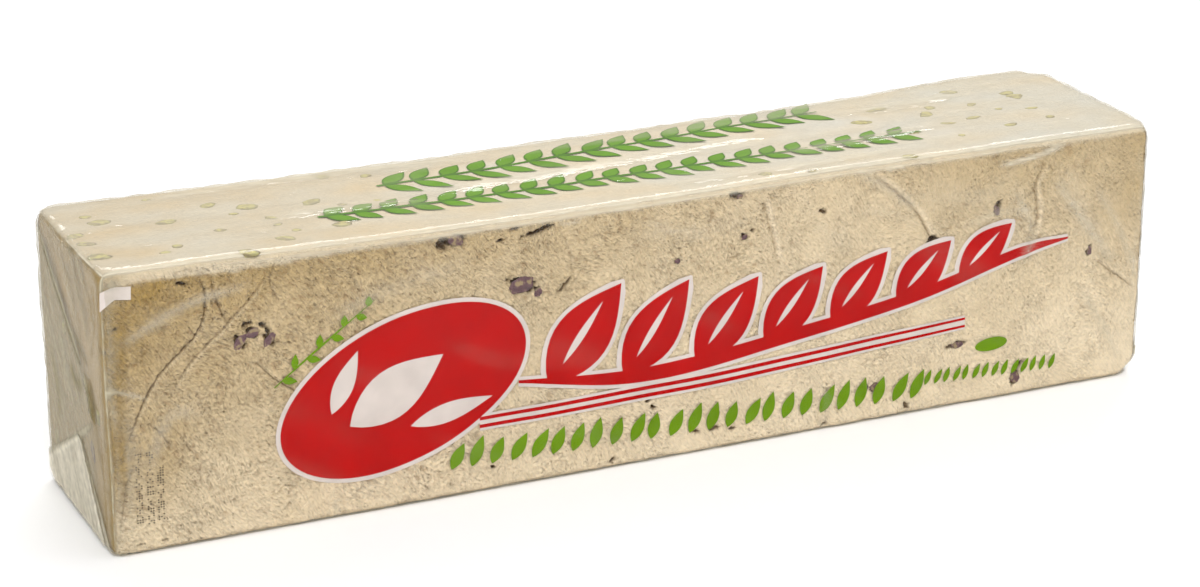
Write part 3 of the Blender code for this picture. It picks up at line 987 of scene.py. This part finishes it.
class HALVA_OT_pistachios(bpy.types.Operator):
    """Scatters the pistachios: broken bits in the pits and cut sections in the pressed faces"""

    bl_idname = "halva.pistachios"
    bl_label = "Pistachios"

    def execute(self, context):
        sizes, colours = context.scene.halva_sizes, context.scene.halva_colours
        select_nothing()
        patterns = []
        for fineness in (4, 3):
            bpy.ops.mesh.primitive_ico_sphere_add(subdivisions=fineness, radius=0.5)
            patterns.append(bpy.context.object)
        fine, coarse = patterns
        pieces = []
        for number, nut in enumerate(all_nuts()):
            pattern = fine if nut[0] == "front" else coarse
            pieces.append(make_nut(pattern, number, nut, sizes.film_gap))
        for pattern in patterns:
            bpy.data.objects.remove(pattern, do_unlink=True)
        select_only(*pieces)
        bpy.ops.object.join()
        piece = bpy.context.object
        piece.name = piece.data.name = "pistachio_bits"
        piece.data.materials.append(nut_material(colours))
        piece.data.shade_smooth()
        join_to_block(piece)
        return {"FINISHED"}


# ---------------------------------------------------------------- film

def ridge(flat, path, half_width):
    """A rounded ridge along a path, 1 at its crest, that dies away at its ends."""
    distance, _, along = path_distance(flat, smooth_path(path))
    return np.exp(-(distance / half_width) ** 2) * np.minimum(1, 5 * np.minimum(along, 1 - along))


def crinkle(points, size, seed):
    """Sharp little creases between smooth patches, from 0 to 1 at the crest."""
    return np.clip(1 - 3.5 * np.abs(noise_at(points, size, seed)), 0, 1) ** 2


def crease(flat, creases, high, cloud):
    """Raises the film along its creases, and whitens it there, partly as milky film and partly as painted
    sheen.
    """
    for path, half_width, height, white in creases:
        line = ridge(flat, path, half_width)
        high, cloud = high + height * line, cloud + white * line
    return high, cloud


def top_wrinkles(points):
    """Wrinkles of the top: long soft waves and ripples, milky but for the printed rows; the milk is partly
    cloudy film and partly painted reflection, and the ripples carry painted sheen.
    """
    mm = points / MM
    high = 0.12 * noise_at(points, (38 * MM, 9 * MM, 1), 31)
    high += 0.05 * crinkle(points, (26 * MM, 4 * MM, 1), 32)
    cloud = 0.24 + 0.10 * noise_at(points, (34 * MM, 14 * MM, 1), 33) + 0.04 * noise_at(points, 9 * MM, 34)
    ripples = [(*ripple, RIPPLE_WHITE) for ripple in TOP_RIPPLES]
    high, cloud = crease(mm[:, [0, 1]], ripples, high, cloud)
    cloud += 0.15 * smooth_step(32, 42, mm[:, 1])
    # The film lies closest over the printed rows
    for left, right, front, back in PRINTED_ROWS:
        across = smooth_step(front - 4, front + 2, mm[:, 1]) * smooth_step(back + 4, back - 2, mm[:, 1])
        along = smooth_step(left - 8, left, mm[:, 0]) * smooth_step(right + 8, right, mm[:, 0])
        cloud = cloud - 0.18 * across * along
    return high, np.clip(cloud, 0.06, 0.7), np.zeros(len(mm))


def front_wrinkles(points):
    """Wrinkles of the front: nearly clear, with white creases partly painted as sheen, a painted highlight
    along the upper rim and a dark left edge.
    """
    mm = points / MM
    slant = points @ np.array(((1, 0, 0.5), (0, 1, 0), (-0.5, 0, 1)))
    high = 0.12 * noise_at(points, 22 * MM, 35) + 0.05 * crinkle(slant, (9 * MM, 1, 22 * MM), 36)
    cloud = 0.03 * smooth_step(0.15, 0.5, noise_at(slant, (50 * MM, 1, 12 * MM), 37))
    high, cloud = crease(mm[:, [0, 2]], FRONT_STREAKS, high, cloud)
    left_end = smooth_step(-209, -217, mm[:, 0])
    high = high + 0.30 * left_end * crinkle(points, (4 * MM, 1, 16 * MM), 38)
    cloud = cloud + 0.10 * left_end * (1 + 1.5 * noise_at(points, (2.0 * MM, 1, 18 * MM), 50))
    # The front's upper rim is whitened as a painted highlight
    rim = smooth_step(-1.5, 1.0, mm[:, 2] - highlight_rim_height(points))
    return high, np.clip(cloud + 0.22 * rim, 0, 0.8), 0.3 * left_end


def end_wrinkles(points, side):
    """Wrinkles of an end: hanging creases, some whitened as painted glints and some darkened as painted
    shade, hazy below the long fold and milky where the flap lies.
    """
    slant = points @ np.array(((1, 0, 0), (0, 1, -0.75 * side), (0, 0.75 * side, 1)))
    high = 0.16 * noise_at(slant, (1, 9 * MM, 40 * MM), 39) + 0.10 * crinkle(slant, (1, 7 * MM, 30 * MM), 40)
    cloud = 0.10 + 0.28 * noise_at(slant, (1, 4 * MM, 34 * MM), 41)
    across, up = -side * points[:, 1] / MM, points[:, 2] / MM
    flat = np.column_stack((across, up))
    high, cloud = crease(flat, END_STREAKS, high, cloud)
    # Distance in millimetres below the long fold, and inwards from the flap's two edges
    fold = LONG_FOLD_SLOPE * across + LONG_FOLD_HEIGHT - up
    flap = np.minimum(31.3 - 0.52 * across - up, across + 40.5 - 0.95 * (up - 1))
    doubled = smooth_step(-1, 1, flap)
    hazy = smooth_step(-1, 1, fold) * (1 - doubled)
    upright = smooth_step(-18, -32, across) * (1 - doubled)
    shade = 0.25 + 0.15 * hazy - 0.20 * doubled + 0.30 * upright
    cloud = (cloud + 0.36 * hazy) * (1 - 0.8 * upright) + 0.45 * doubled
    # Dark creases are painted shade in the film's folds
    for path, half_width, dark in END_CREASES:
        line = dark * ridge(flat, path, half_width)
        shade, cloud = shade + line, cloud + 0.5 * line
    return high, np.clip(cloud, 0.0, 0.9), np.clip(shade, 0, 1)


def hidden_wrinkles(points, face):
    """Wrinkles of the back, with the lap along which the film is sealed, and of the flat base."""
    back = face == "back"
    high = 0.12 * noise_at(points, 20 * MM, 42)
    high += 0.18 * crinkle(points, (34 * MM, 1 if back else 8 * MM, 9 * MM), 43)
    cloud = 0.08 + 0.14 * noise_at(points, 24 * MM, 44)
    if back:
        lap = smooth_step(44, 46, points[:, 2] / MM)
        high, cloud = high + 0.25 * lap, cloud + 0.06 * lap
    else:
        high = np.minimum(high - 0.3, 0.0)
    return high, np.clip(cloud, 0.02, 0.6), np.zeros(len(points))


def wrinkles(face, points):
    """Height of the film's wrinkles on one face in millimetres, its cloudiness and its shade from 0 to 1."""
    if face == "top":
        return top_wrinkles(points)
    if face == "front":
        return front_wrinkles(points)
    if face in ("left", "right"):
        return end_wrinkles(points, FACES[face][1])
    return hidden_wrinkles(points, face)


def film_lift(points):
    """How the wrinkles move points of the true bar's film, and the film's milkiness with its painted
    highlights, and its shade, there.
    """
    half = np.array((LENGTH, WIDTH, HEIGHT)) / 2
    centred = points - np.array((0, 0, HEIGHT / 2))
    gap = half - np.abs(centred)
    # The rounded edges take small kinks of their own, larger on the hidden side
    rounded = gap < FILM_TURN
    kinks = 0.16 * noise_at(points, 7 * MM, 46) + 0.06 * noise_at(points, 3 * MM, 48)
    kinks = np.where(rounded.sum(axis=1) > 1, kinks, 0) * (1 + 1.6 * (centred[:, 1] > 0))
    move = np.sign(centred) * rounded * kinks[:, None] * MM
    shade = np.zeros(len(points))
    cloud = 0.22 + 0.12 * noise_at(points, 9 * MM, 47)
    # The turn itself carries a thin milky line, a painted highlight, clearest on the edges that face the
    # light
    turned = np.sort(np.clip(1 - gap / (2.8 * MM), 0, 1), axis=1)
    crest = turned[:, 1] / np.maximum(turned[:, 2], 0.01)
    crest = smooth_step(0.55, 1.0, crest) * (0.8 + 0.8 * noise_at(points, 5 * MM, 49))
    lit_edge = (centred[:, 0] < EDGE_REACH - half[0]) | (centred[:, 2] > half[2] - EDGE_REACH)
    right_edge = (centred[:, 0] > half[0] - EDGE_REACH) & (centred[:, 2] > 0)
    lit = np.where(lit_edge, 1.0, 0.5 * right_edge) * (centred[:, 1] < 0)
    for face, (axis, sign) in FACES.items():
        here = np.flatnonzero((gap[:, axis] < FACE_REACH) & (sign * centred[:, axis] > 0))
        if not len(here):
            continue
        others = np.delete(gap[here], axis, axis=1).min(axis=1)
        high, white, dark = wrinkles(face, points[here])
        move[here, axis] += sign * smooth_step(0.5 * MM, 7 * MM, others) * high * MM
        reach = 2.6 if face == "front" else 5.0
        # A band along each edge is whitened: partly the film standing off the rounded corner, partly painted
        # highlight
        edge = smooth_step(reach * MM, 0.6 * MM, others)
        cloud[here] = white + edge * (0.14 + 0.14 * noise_at(points[here], 7 * MM, 45))
        shade[here] = dark
    return move, cloud + (0.06 + 0.40 * lit) * crest, shade


def film_material(name, cloud_share, gloss_share, milk, oil_and_shade_tone):
    """Clear shrink film: see-through with a glossy outside, cloudy where it is creased, with painted sheen,
    highlights and shade from its attributes.
    """
    material, tree = new_material(name)
    node = partial(add_node, tree)
    place = node("ShaderNodeTexCoord").node.outputs["Object"]
    cloud, shade = (
        node("ShaderNodeAttribute", {"attribute_name": value}).node.outputs["Fac"]
        for value in ("cloud", "shade"))
    # Creases finer than the mesh, drawn out along the block
    drawn = node("ShaderNodeMapping", {"vector_type": "TEXTURE"}, {
        "Vector": place, "Scale": (9 * MM, 3 * MM, 3 * MM)})
    creases = node("ShaderNodeTexNoise", None, {"Vector": drawn, "Scale": 1.0, "Detail": 1.0})
    bumps = node("ShaderNodeBump", None, {"Distance": 0.25 * MM, "Height": creases})
    # Mirror strength by slant, the same from both sides of the sheet
    facing = node("ShaderNodeLayerWeight", None, {"Blend": 0.5, "Normal": bumps}).node.outputs["Facing"]
    slant = node("ShaderNodeMath", {"operation": "POWER"}, {0: facing, 1: 5.0})
    slant = node("ShaderNodeMath", {"operation": "MINIMUM"}, {0: slant, 1: 0.13})
    gleam = node("ShaderNodeMath", {"operation": "MULTIPLY_ADD"}, {
        0: slant, 1: gloss_share, 2: 0.014 * gloss_share})
    clear = node("ShaderNodeBsdfTransparent", None, {"Color": (0.985, 0.985, 0.98, 1)})
    gloss = node("ShaderNodeBsdfGlossy", None, {
        "Color": (1, 1, 1, 1), "Roughness": 0.05, "Normal": bumps})
    sheet = node("ShaderNodeMixShader", None, {0: gleam, 1: clear, 2: gloss})
    # Creases are milky, partly real and partly painted sheen, and take the tone of the oil where the film
    # clings to oily halva; the same tone paints shade into the end's creases
    tone = node("ShaderNodeMix", {"data_type": "RGBA"}, {
        0: shade, 6: linear(milk), 7: linear(oil_and_shade_tone)}).node.outputs[2]
    milky = node("ShaderNodeBsdfDiffuse", None, {"Color": tone})
    uneven = node("ShaderNodeMapRange", None, {
        "Value": creases, "From Min": 0.3, "From Max": 0.7,
        "To Min": 0.82 * cloud_share, "To Max": 1.18 * cloud_share})
    share = node("ShaderNodeMath", {"operation": "MULTIPLY", "use_clamp": True}, {0: cloud, 1: uneven})
    mixed = node("ShaderNodeMixShader", None, {0: share, 1: sheet, 2: milky})
    node("ShaderNodeOutputMaterial", None, {"Surface": mixed})
    return material


def near_creases(flat, creases, reach):
    """Which flat points lie within reach of any of the creases."""
    chosen = np.zeros(len(flat), dtype=bool)
    for path, *_ in creases:
        chosen |= path_distance(flat, smooth_path(path))[0] < reach
    return chosen


class HALVA_OT_film(bpy.types.Operator):
    """Draws the clear film tight around the block, with its wrinkles, cloudy parts and painted highlights"""

    bl_idname = "halva.film"
    bl_label = "Clear film"

    def execute(self, context):
        sizes, colours = context.scene.halva_sizes, context.scene.halva_colours
        piece = bar("film_wrap", 0.0, sizes.film_edge, 4, sizes.cell)
        centres = face_centres(piece.data)
        top = centres[:, 2] > HEIGHT - FACE_REACH
        ends = np.abs(centres[:, 0]) > LENGTH / 2 - FACE_REACH
        corner = np.abs(centres[:, 2] - HEIGHT / 2) > HEIGHT / 2 - 3 * MM
        corner &= on_front(centres, 3 * MM)
        creased = near_creases(centres[:, [0, 2]] / MM, FRONT_STREAKS, 5.0)
        refine(piece, top | ends | corner | (on_front(centres, FACE_REACH) & creased))
        centres = face_centres(piece.data)
        ends = np.abs(centres[:, 0]) > LENGTH / 2 - FACE_REACH
        flat = np.column_stack((-np.sign(centres[:, 0]) * centres[:, 1], centres[:, 2])) / MM
        refine(piece, ends & near_creases(flat, END_STREAKS + END_CREASES, 2.0))
        points = points_of(piece.data)
        move, cloud, shade = film_lift(points)
        set_value(piece.data, "cloud", cloud)
        set_value(piece.data, "shade", shade)
        set_points(piece.data, settle(points) + move)
        piece.data.materials.append(
            film_material("clear_shrink_film", 1.0, 0.9, colours.film, colours.film_shade))
        piece.data.shade_smooth()
        join_to_block(piece)
        return {"FINISHED"}


def fold_sheet(name, side, lines, lift, material):
    """A fold of film laid on one end: a flat sheet cut to its fold lines, then creased and thickened."""
    select_nothing()
    bpy.ops.mesh.primitive_grid_add(
        x_subdivisions=80, y_subdivisions=100, size=1.0, location=(side * LENGTH / 2, 0, HEIGHT / 2),
        rotation=(math.radians(90), 0, side * math.radians(90)))
    piece = bpy.context.object
    piece.name = piece.data.name = name
    piece.scale = (WIDTH - 2 * FOLD_MARGIN, HEIGHT - 2 * FOLD_MARGIN, 1.0)
    bpy.ops.object.transform_apply(location=True, rotation=True, scale=True)
    bpy.ops.object.mode_set(mode="EDIT")
    for start, end, keep_above in lines:
        run = Vector((0, -side * (end[0] - start[0]), end[1] - start[1]))
        through = Vector((side * LENGTH / 2, -side * start[0], start[1]))
        normal = Vector((0, run.z, -run.y))
        if (normal.z > 0) == keep_above:
            normal = -normal
        bpy.ops.mesh.select_all(action="SELECT")
        bpy.ops.mesh.bisect(plane_co=through, plane_no=normal, clear_outer=True)
    bpy.ops.object.mode_set(mode="OBJECT")
    points = points_of(piece.data)
    move, cloud, shade = film_lift(points)
    flat = np.column_stack((-side * points[:, 1], points[:, 2])) / MM
    nearest = np.full(len(points), 1.0)
    for start, end, _ in lines:
        nearest = np.minimum(nearest, path_distance(flat, np.array((start, end)) / MM)[0])
    # The fold's edge is a small roll, whitened as a painted highlight, and the sheet has ripples of its own
    roll = 0.22 * np.exp(-nearest ** 2)
    ripple = 0.15 * crinkle(points, (1, 6 * MM, 9 * MM), 51)
    edge = np.minimum(WIDTH / 2 - np.abs(points[:, 1]), HEIGHT / 2 - np.abs(points[:, 2] - HEIGHT / 2))
    move[:, 0] += side * (lift + (roll + ripple) * smooth_step(1.5 * MM, 6 * MM, edge)) * MM
    set_value(piece.data, "cloud", np.clip(cloud + 0.25 * roll, 0, 0.9))
    set_value(piece.data, "shade", shade)
    set_points(piece.data, settle(points) + move)
    select_only(piece)
    solid = piece.modifiers.new("thickness", "SOLIDIFY")
    solid.thickness = SHEET_THICKNESS
    bpy.ops.object.modifier_apply(modifier=solid.name)
    piece.data.materials.append(material)
    piece.data.shade_smooth()
    join_to_block(piece)


class HALVA_OT_folds(bpy.types.Operator):
    """Folds the film's ends flat: an upper fold and a flap from the base on each end"""

    bl_idname = "halva.folds"
    bl_label = "Film folds"

    def execute(self, context):
        colours = context.scene.halva_colours
        folded = film_material("clear_film_folded", 0.25, 0.12, colours.film, colours.film_shade)
        doubled = film_material("clear_film_doubled", 0.85, 0.12, colours.film_doubled, colours.film_shade)
        flap_lines = ((*FLAP_TOP, False), (*FLAP_SIDE, False))
        for place in ("left", "right"):
            side = FACES[place][1]
            fold_sheet(f"end_fold_{place}", side, ((*UPPER_FOLD, True),), FOLD_LIFT, folded)
            fold_sheet(f"end_flap_{place}", side, flap_lines, FLAP_LIFT, doubled)
        return {"FINISHED"}


# ---------------------------------------------------------------- print

def ellipse(x, y, long, short, turn=0.0, steps=48):
    """Outline of an ellipse, from its half length and half height."""
    angle = np.linspace(0, 2 * math.pi, steps, endpoint=False)
    u, v = long * np.cos(angle), short * np.sin(angle)
    c, s = math.cos(math.radians(turn)), math.sin(math.radians(turn))
    return np.column_stack((x + u * c - v * s, y + u * s + v * c))


def leaf(x, y, length, width, turn, grow=0.0, steps=14):
    """Outline of a pointed leaf from its stalk at x, y; grow moves the outline outwards."""
    t = np.linspace(0, 1, steps)
    half = width / 2 * np.sin(math.pi * t ** 0.85) + grow
    u = t * (length + 2 * grow) - grow
    half[0] = half[-1] = 0.25 * grow
    upper = np.column_stack((u, half))
    lower = np.column_stack((u[::-1], -half[::-1]))
    outline = np.vstack((upper, lower[1:-1])) if grow == 0 else np.vstack((upper, lower))
    c, s = math.cos(math.radians(turn)), math.sin(math.radians(turn))
    return outline @ np.array(((c, s), (-s, c))) + (x, y)


def ribbon(path, half_widths):
    """Outline of a band along a smooth path, its half width given at each point of the path."""
    path = np.asarray(path, dtype=float)
    line = smooth_path(path, 10)
    widths = smooth_path(np.column_stack((np.arange(len(path)), half_widths)), 10)[:, 1]
    run = np.gradient(line, axis=0)
    run /= np.hypot(run[:, 0], run[:, 1])[:, None]
    out = np.column_stack((-run[:, 1], run[:, 0])) * np.maximum(widths, 0.02)[:, None]
    return np.vstack((line + out, (line - out)[::-1]))


def ink_material(name, code, rough):
    """Printed ink on film: a flat colour, a little uneven in thickness."""
    material, tree = new_material(name)
    node = partial(add_node, tree)
    place = node("ShaderNodeTexCoord").node.outputs["Object"]
    uneven = node("ShaderNodeTexNoise", None, {"Vector": place, "Scale": 70.0, "Detail": 3.0})
    tone = node("ShaderNodeMapRange", None, {
        "Value": uneven, "From Min": 0.3, "From Max": 0.7, "To Min": 0.90, "To Max": 1.08})
    colour = node("ShaderNodeVectorMath", {"operation": "SCALE"}, {0: linear(code)[:3], "Scale": tone})
    shader = node("ShaderNodeBsdfPrincipled", None, {
        "Base Color": colour, "Roughness": rough, "Specular IOR Level": 0.0})
    node("ShaderNodeOutputMaterial", None, {"Surface": shader})
    return material


def cut_cells(flat, axes, steps):
    """Cuts flat print into small cells, so that it can follow the film."""
    for axis, step in zip(axes, steps):
        low, high = flat[:, axis].min(), flat[:, axis].max()
        for place in np.arange(low + step, high, step):
            through, normal = [0, 0, 0], [0, 0, 0]
            through[axis], normal[axis] = place, 1
            bpy.ops.mesh.select_all(action="SELECT")
            bpy.ops.mesh.bisect(plane_co=through, plane_no=normal)


def hide_in_ripples(piece):
    """Takes out the strips of print on top that lie in the folds of the long ripples."""
    ink = bmesh.from_edit_mesh(piece.data)
    ink.faces.ensure_lookup_table()
    centres = np.array([tuple(part.calc_center_median()) for part in ink.faces])[:, :2] / MM
    hidden = np.zeros(len(centres))
    for path, half_width, _ in TOP_RIPPLES:
        behind = centres + (0, -0.6 * half_width)
        hidden = np.maximum(hidden, ridge(behind, path, 0.25 * half_width))
    bpy.ops.mesh.select_mode(type="FACE")
    bpy.ops.mesh.select_all(action="DESELECT")
    for index in np.flatnonzero(hidden > 0.5):
        ink.faces[index].select_set(True)
    bpy.ops.mesh.delete(type="FACE")


def print_on(name, face, outlines, depth, material):
    """Prints closed outlines, in millimetres on a face of the block, as one thin layer of ink."""
    axis, sign = FACES[face]
    flat_axes = [i for i in range(3) if i != axis]
    level = (HEIGHT if sign > 0 else 0) if axis == 2 else sign * (LENGTH, WIDTH)[axis] / 2
    points, faces = [], []
    for outline in outlines:
        start = len(points)
        for u, v in outline:
            point = [0.0, 0.0, 0.0]
            point[flat_axes[0]], point[flat_axes[1]] = u * MM, v * MM
            point[axis] = level - sign * depth * MM
            points.append(point)
        faces.append(range(start, len(points)))
    mesh = bpy.data.meshes.new(name)
    mesh.from_pydata(points, [], faces)
    piece = bpy.data.objects.new(name, mesh)
    bpy.context.collection.objects.link(piece)
    select_only(piece)
    bpy.ops.object.mode_set(mode="EDIT")
    cut_cells(np.array(points), flat_axes, PRINT_CELLS[face])
    if face == "top":
        hide_in_ripples(piece)
    bpy.ops.mesh.select_all(action="SELECT")
    bpy.ops.mesh.quads_convert_to_tris()
    bpy.ops.object.mode_set(mode="OBJECT")
    flat = points_of(piece.data)
    move = film_lift(flat)[0]
    set_points(piece.data, settle(flat) + move)
    solid = piece.modifiers.new("thickness", "SOLIDIFY")
    solid.thickness = INK_THICKNESS
    bpy.ops.object.modifier_apply(modifier=solid.name)
    bpy.ops.object.mode_set(mode="EDIT")
    bpy.ops.mesh.select_all(action="SELECT")
    bpy.ops.mesh.normals_make_consistent(inside=False)
    bpy.ops.object.mode_set(mode="OBJECT")
    piece.data.materials.append(material)
    join_to_block(piece)


def medallion():
    """The round field at the left: its white ground, its red, and a white nut between two leaves."""
    x, z, long, short, turn = MEDALLION
    ground, red = (ellipse(x, z, long + rim, short + rim, turn, 72) for rim in (MEDALLION_RIM, 0))
    return [ground], [red], [leaf(*shape) for shape in MEDALLION_LEAVES]


def leaf_row():
    """Leaves growing smaller along a stem: white ground, red, and a white vein in each leaf."""
    grounds = [ribbon(LEAF_STEM, (2.0, 4.6, 4.4, 4.0, 3.4, 1.6))]
    reds = [ribbon(LEAF_STEM, (0.6, 3.0, 2.8, 2.5, 2.0, 0.4))]
    veins = []
    for x, z, length, width, turn in FRONT_LEAVES:
        grounds.append(leaf(x, z, length, width, turn, 1.7))
        reds.append(leaf(x, z, length, width, turn))
        foot = 0.2 * length
        vein_x, vein_z = x + foot * math.cos(math.radians(turn)), z + foot * math.sin(math.radians(turn))
        veins.append(leaf(vein_x, vein_z, 0.60 * length, 0.13 * width, turn + 4))
    return grounds, reds, veins


def small_rows(draw):
    """Two rows of small leaves near the front's lower edge."""
    rows = []
    for x in np.arange(-90, 112, 8.4):
        length, turn = 12.5 + draw.uniform(-1.2, 1.2), 66 + draw.uniform(-9, 9)
        rows.append(leaf(x, 12.2 - 0.025 * (x + 91), length, 5.2, turn))
    for x in np.arange(118, 180, 4.6):
        rows.append(leaf(x, 12.0 - 0.04 * (x - 117), 7.0, 2.6, 66 + draw.uniform(-9, 9)))
    return rows


def sprig():
    """Eight small leaves that climb on both sides of a stalk."""
    leaves = []
    for number in range(8):
        x, z = -156 + 4.9 * number, 59.5 + 3.45 * number
        leaves.append(leaf(x, z, 6.2 - 0.3 * number, 2.8, 84 if number % 2 else -12))
    return leaves, ribbon(((-159, 57), (-142, 69.5), (-119, 86)), (0.2, 0.4, 0.1))


class HALVA_OT_front_print(bpy.types.Operator):
    """Prints the front of the film: a red medallion and leaves, stripes, and small green rows"""

    bl_idname = "halva.front_print"
    bl_label = "Front print"

    def execute(self, context):
        colours = context.scene.halva_colours
        red = ink_material("red_ink", colours.red, 0.35)
        white = ink_material("white_ink", colours.white, 0.4)
        green = ink_material("green_ink", colours.green, 0.4)
        grounds, reds, motifs = (field + row for field, row in zip(medallion(), leaf_row()))
        grounds.append(ribbon(STRIPE_LINE, (3.4, 3.6, 3.0)))
        stripes = []
        for shift in (1.6, -1.6):
            stripes.append(ribbon([(x, z + shift) for x, z in STRIPE_LINE], (0.7, 0.8, 0.5)))
        for number, outline in enumerate(grounds):
            depth = WHITE_GROUND - WHITE_STEP * number
            print_on(f"white_ground_{number}", "front", [outline], depth, white)
        for number, outline in enumerate(reds):
            depth = RED_SHAPES - RED_STEP * number
            print_on(f"red_shape_{number}", "front", [outline], depth, red)
        print_on("red_stripes", "front", stripes, RED_STRIPES, red)
        print_on("white_motifs", "front", motifs, WHITE_MOTIFS, white)
        rows = small_rows(np.random.default_rng(3))
        leaves, stalk = sprig()
        print_on("green_rows", "front", rows, SMALL_PRINT, green)
        print_on("green_sprig", "front", leaves, SMALL_PRINT, green)
        print_on("green_stalk", "front", [stalk], GREEN_STALK, green)
        print_on("green_oval", "front", [ellipse(*GREEN_OVAL)], SMALL_PRINT, green)
        print_on("white_corner_mark", "front", [CORNER_MARK], SMALL_PRINT, white)
        return {"FINISHED"}


class HALVA_OT_date_marks(bpy.types.Operator):
    """Sets three upright rows of dark dots at the front's left end"""

    bl_idname = "halva.date_marks"
    bl_label = "Dot rows"

    def execute(self, context):
        dark = ink_material("dark_ink", context.scene.halva_colours.dark, 0.5)
        draw = np.random.default_rng(5)
        dots = []
        for x, low, high in DOT_ROWS:
            for z in np.arange(low, high, DOT_SPACING):
                for column in range(3):
                    if draw.random() < DOT_SHARE:
                        lean = DOT_LEAN * (z - low)
                        dots.append(ellipse(x + DOT_SPACING * column + lean, z, *DOT_SIZE, steps=6))
        print_on("dot_rows", "front", dots, DOT_DEPTH, dark)
        return {"FINISHED"}


class HALVA_OT_top_print(bpy.types.Operator):
    """Prints the top of the film: two rows of green leaves, broken by its wrinkles"""

    bl_idname = "halva.top_print"
    bl_label = "Top print"

    def execute(self, context):
        colours = context.scene.halva_colours
        green = ink_material("green_ink_top", colours.green_top, 0.4)
        rim = ink_material("green_ink_top_rim", colours.green_rim, 0.4)
        draw = np.random.default_rng(9)
        rims, leaves = [], []
        for start, end, middle, drift, pitch, length, width in TOP_GARLANDS:
            stem = [(x, middle + drift * (x - start)) for x in (start - 3, (start + end) / 2, end + 6)]
            for x in np.arange(start, end, pitch):
                foot = middle + drift * (x - start)
                for way in (1, -1):
                    long, turn = length * draw.uniform(0.9, 1.1), way * draw.uniform(38, 50)
                    shape = (x, foot + 0.4 * way, long, width, turn)
                    rims.append(leaf(*shape))
                    leaves.append(leaf(*shape, -0.6))
            rims.append(ribbon(stem, (0.9, 0.9, 0.5)))
        print_on("green_garland_rims", "top", rims, GARLAND_RIMS, rim)
        print_on("green_garland_leaves", "top", leaves, GARLAND_LEAVES, green)
        return {"FINISHED"}


# ---------------------------------------------------------------- stage

def softbox(name, place, aim, size, power):
    """A soft studio panel that looks at a point."""
    data = bpy.data.lights.new(name, "AREA")
    data.shape = "RECTANGLE"
    data.size, data.size_y = size
    data.energy = power
    light = bpy.data.objects.new(name, data)
    bpy.context.collection.objects.link(light)
    light.location = place
    light.rotation_euler = (Vector(aim) - Vector(place)).to_track_quat("-Z", "Y").to_euler()


class HALVA_OT_stage(bpy.types.Operator):
    """Sets the pale floor, the soft light and the camera"""

    bl_idname = "halva.stage"
    bl_label = "Stage"

    def execute(self, context):
        scene = context.scene
        select_nothing()
        bpy.ops.mesh.primitive_plane_add(size=FLOOR_SIZE, location=(0, 0, 0))
        floor = bpy.context.object
        floor.name = floor.data.name = "floor"
        # Pale studio paper: bright, even and without any gloss
        material, tree = new_material("studio_floor")
        paper = add_node(tree, "ShaderNodeBsdfDiffuse", None, {"Color": linear(scene.halva_colours.floor)})
        add_node(tree, "ShaderNodeOutputMaterial", None, {"Surface": paper})
        floor.data.materials.append(material)
        world = bpy.data.worlds.new("studio")
        scene.world = world
        world.use_nodes = True
        background = world.node_tree.nodes["Background"]
        background.inputs["Color"].default_value = (1, 1, 1, 1)
        background.inputs["Strength"].default_value = WORLD_STRENGTH
        for light in LIGHTS:
            softbox(*light)
        data = bpy.data.cameras.new("camera")
        data.lens, data.sensor_width = CAMERA_LENS, CAMERA_SENSOR
        data.clip_start = 0.01
        camera = bpy.data.objects.new("camera", data)
        context.collection.objects.link(camera)
        camera.location = CAMERA_PLACE
        camera.rotation_euler = (math.radians(90 - CAMERA_DOWN), 0, math.radians(-CAMERA_RIGHT))
        scene.camera = camera
        scene.view_settings.view_transform = "Standard"
        return {"FINISHED"}


STEPS = (
    HALVA_OT_block, HALVA_OT_pistachios, HALVA_OT_film, HALVA_OT_folds, HALVA_OT_front_print,
    HALVA_OT_date_marks, HALVA_OT_top_print, HALVA_OT_stage,
)


class HALVA_PT_panel(bpy.types.Panel):
    """The block's sizes, colours and steps"""

    bl_label = "Wrapped Halva Block"
    bl_idname = "HALVA_PT_panel"
    bl_space_type = "VIEW_3D"
    bl_region_type = "UI"
    bl_category = "Halva"

    def draw(self, context):
        for group in (context.scene.halva_sizes, context.scene.halva_colours):
            for name in group.bl_rna.properties.keys():
                if name not in ("rna_type", "name"):
                    self.layout.prop(group, name)
        for step in STEPS:
            self.layout.operator(step.bl_idname)


CLASSES = (HalvaSizes, HalvaColours, *STEPS, HALVA_PT_panel)


def register():
    """Makes the properties, operators and panel known."""
    for kind in CLASSES:
        bpy.utils.register_class(kind)
    bpy.types.Scene.halva_sizes = bpy.props.PointerProperty(type=HalvaSizes)
    bpy.types.Scene.halva_colours = bpy.props.PointerProperty(type=HalvaColours)


def unregister():
    """Takes them out again."""
    del bpy.types.Scene.halva_colours
    del bpy.types.Scene.halva_sizes
    for kind in reversed(CLASSES):
        bpy.utils.unregister_class(kind)


def main():
    """Builds every piece in order."""
    register()
    for step in STEPS:
        group, name = step.bl_idname.split(".")
        getattr(getattr(bpy.ops, group), name)()


if __name__ == "__main__":
    main()
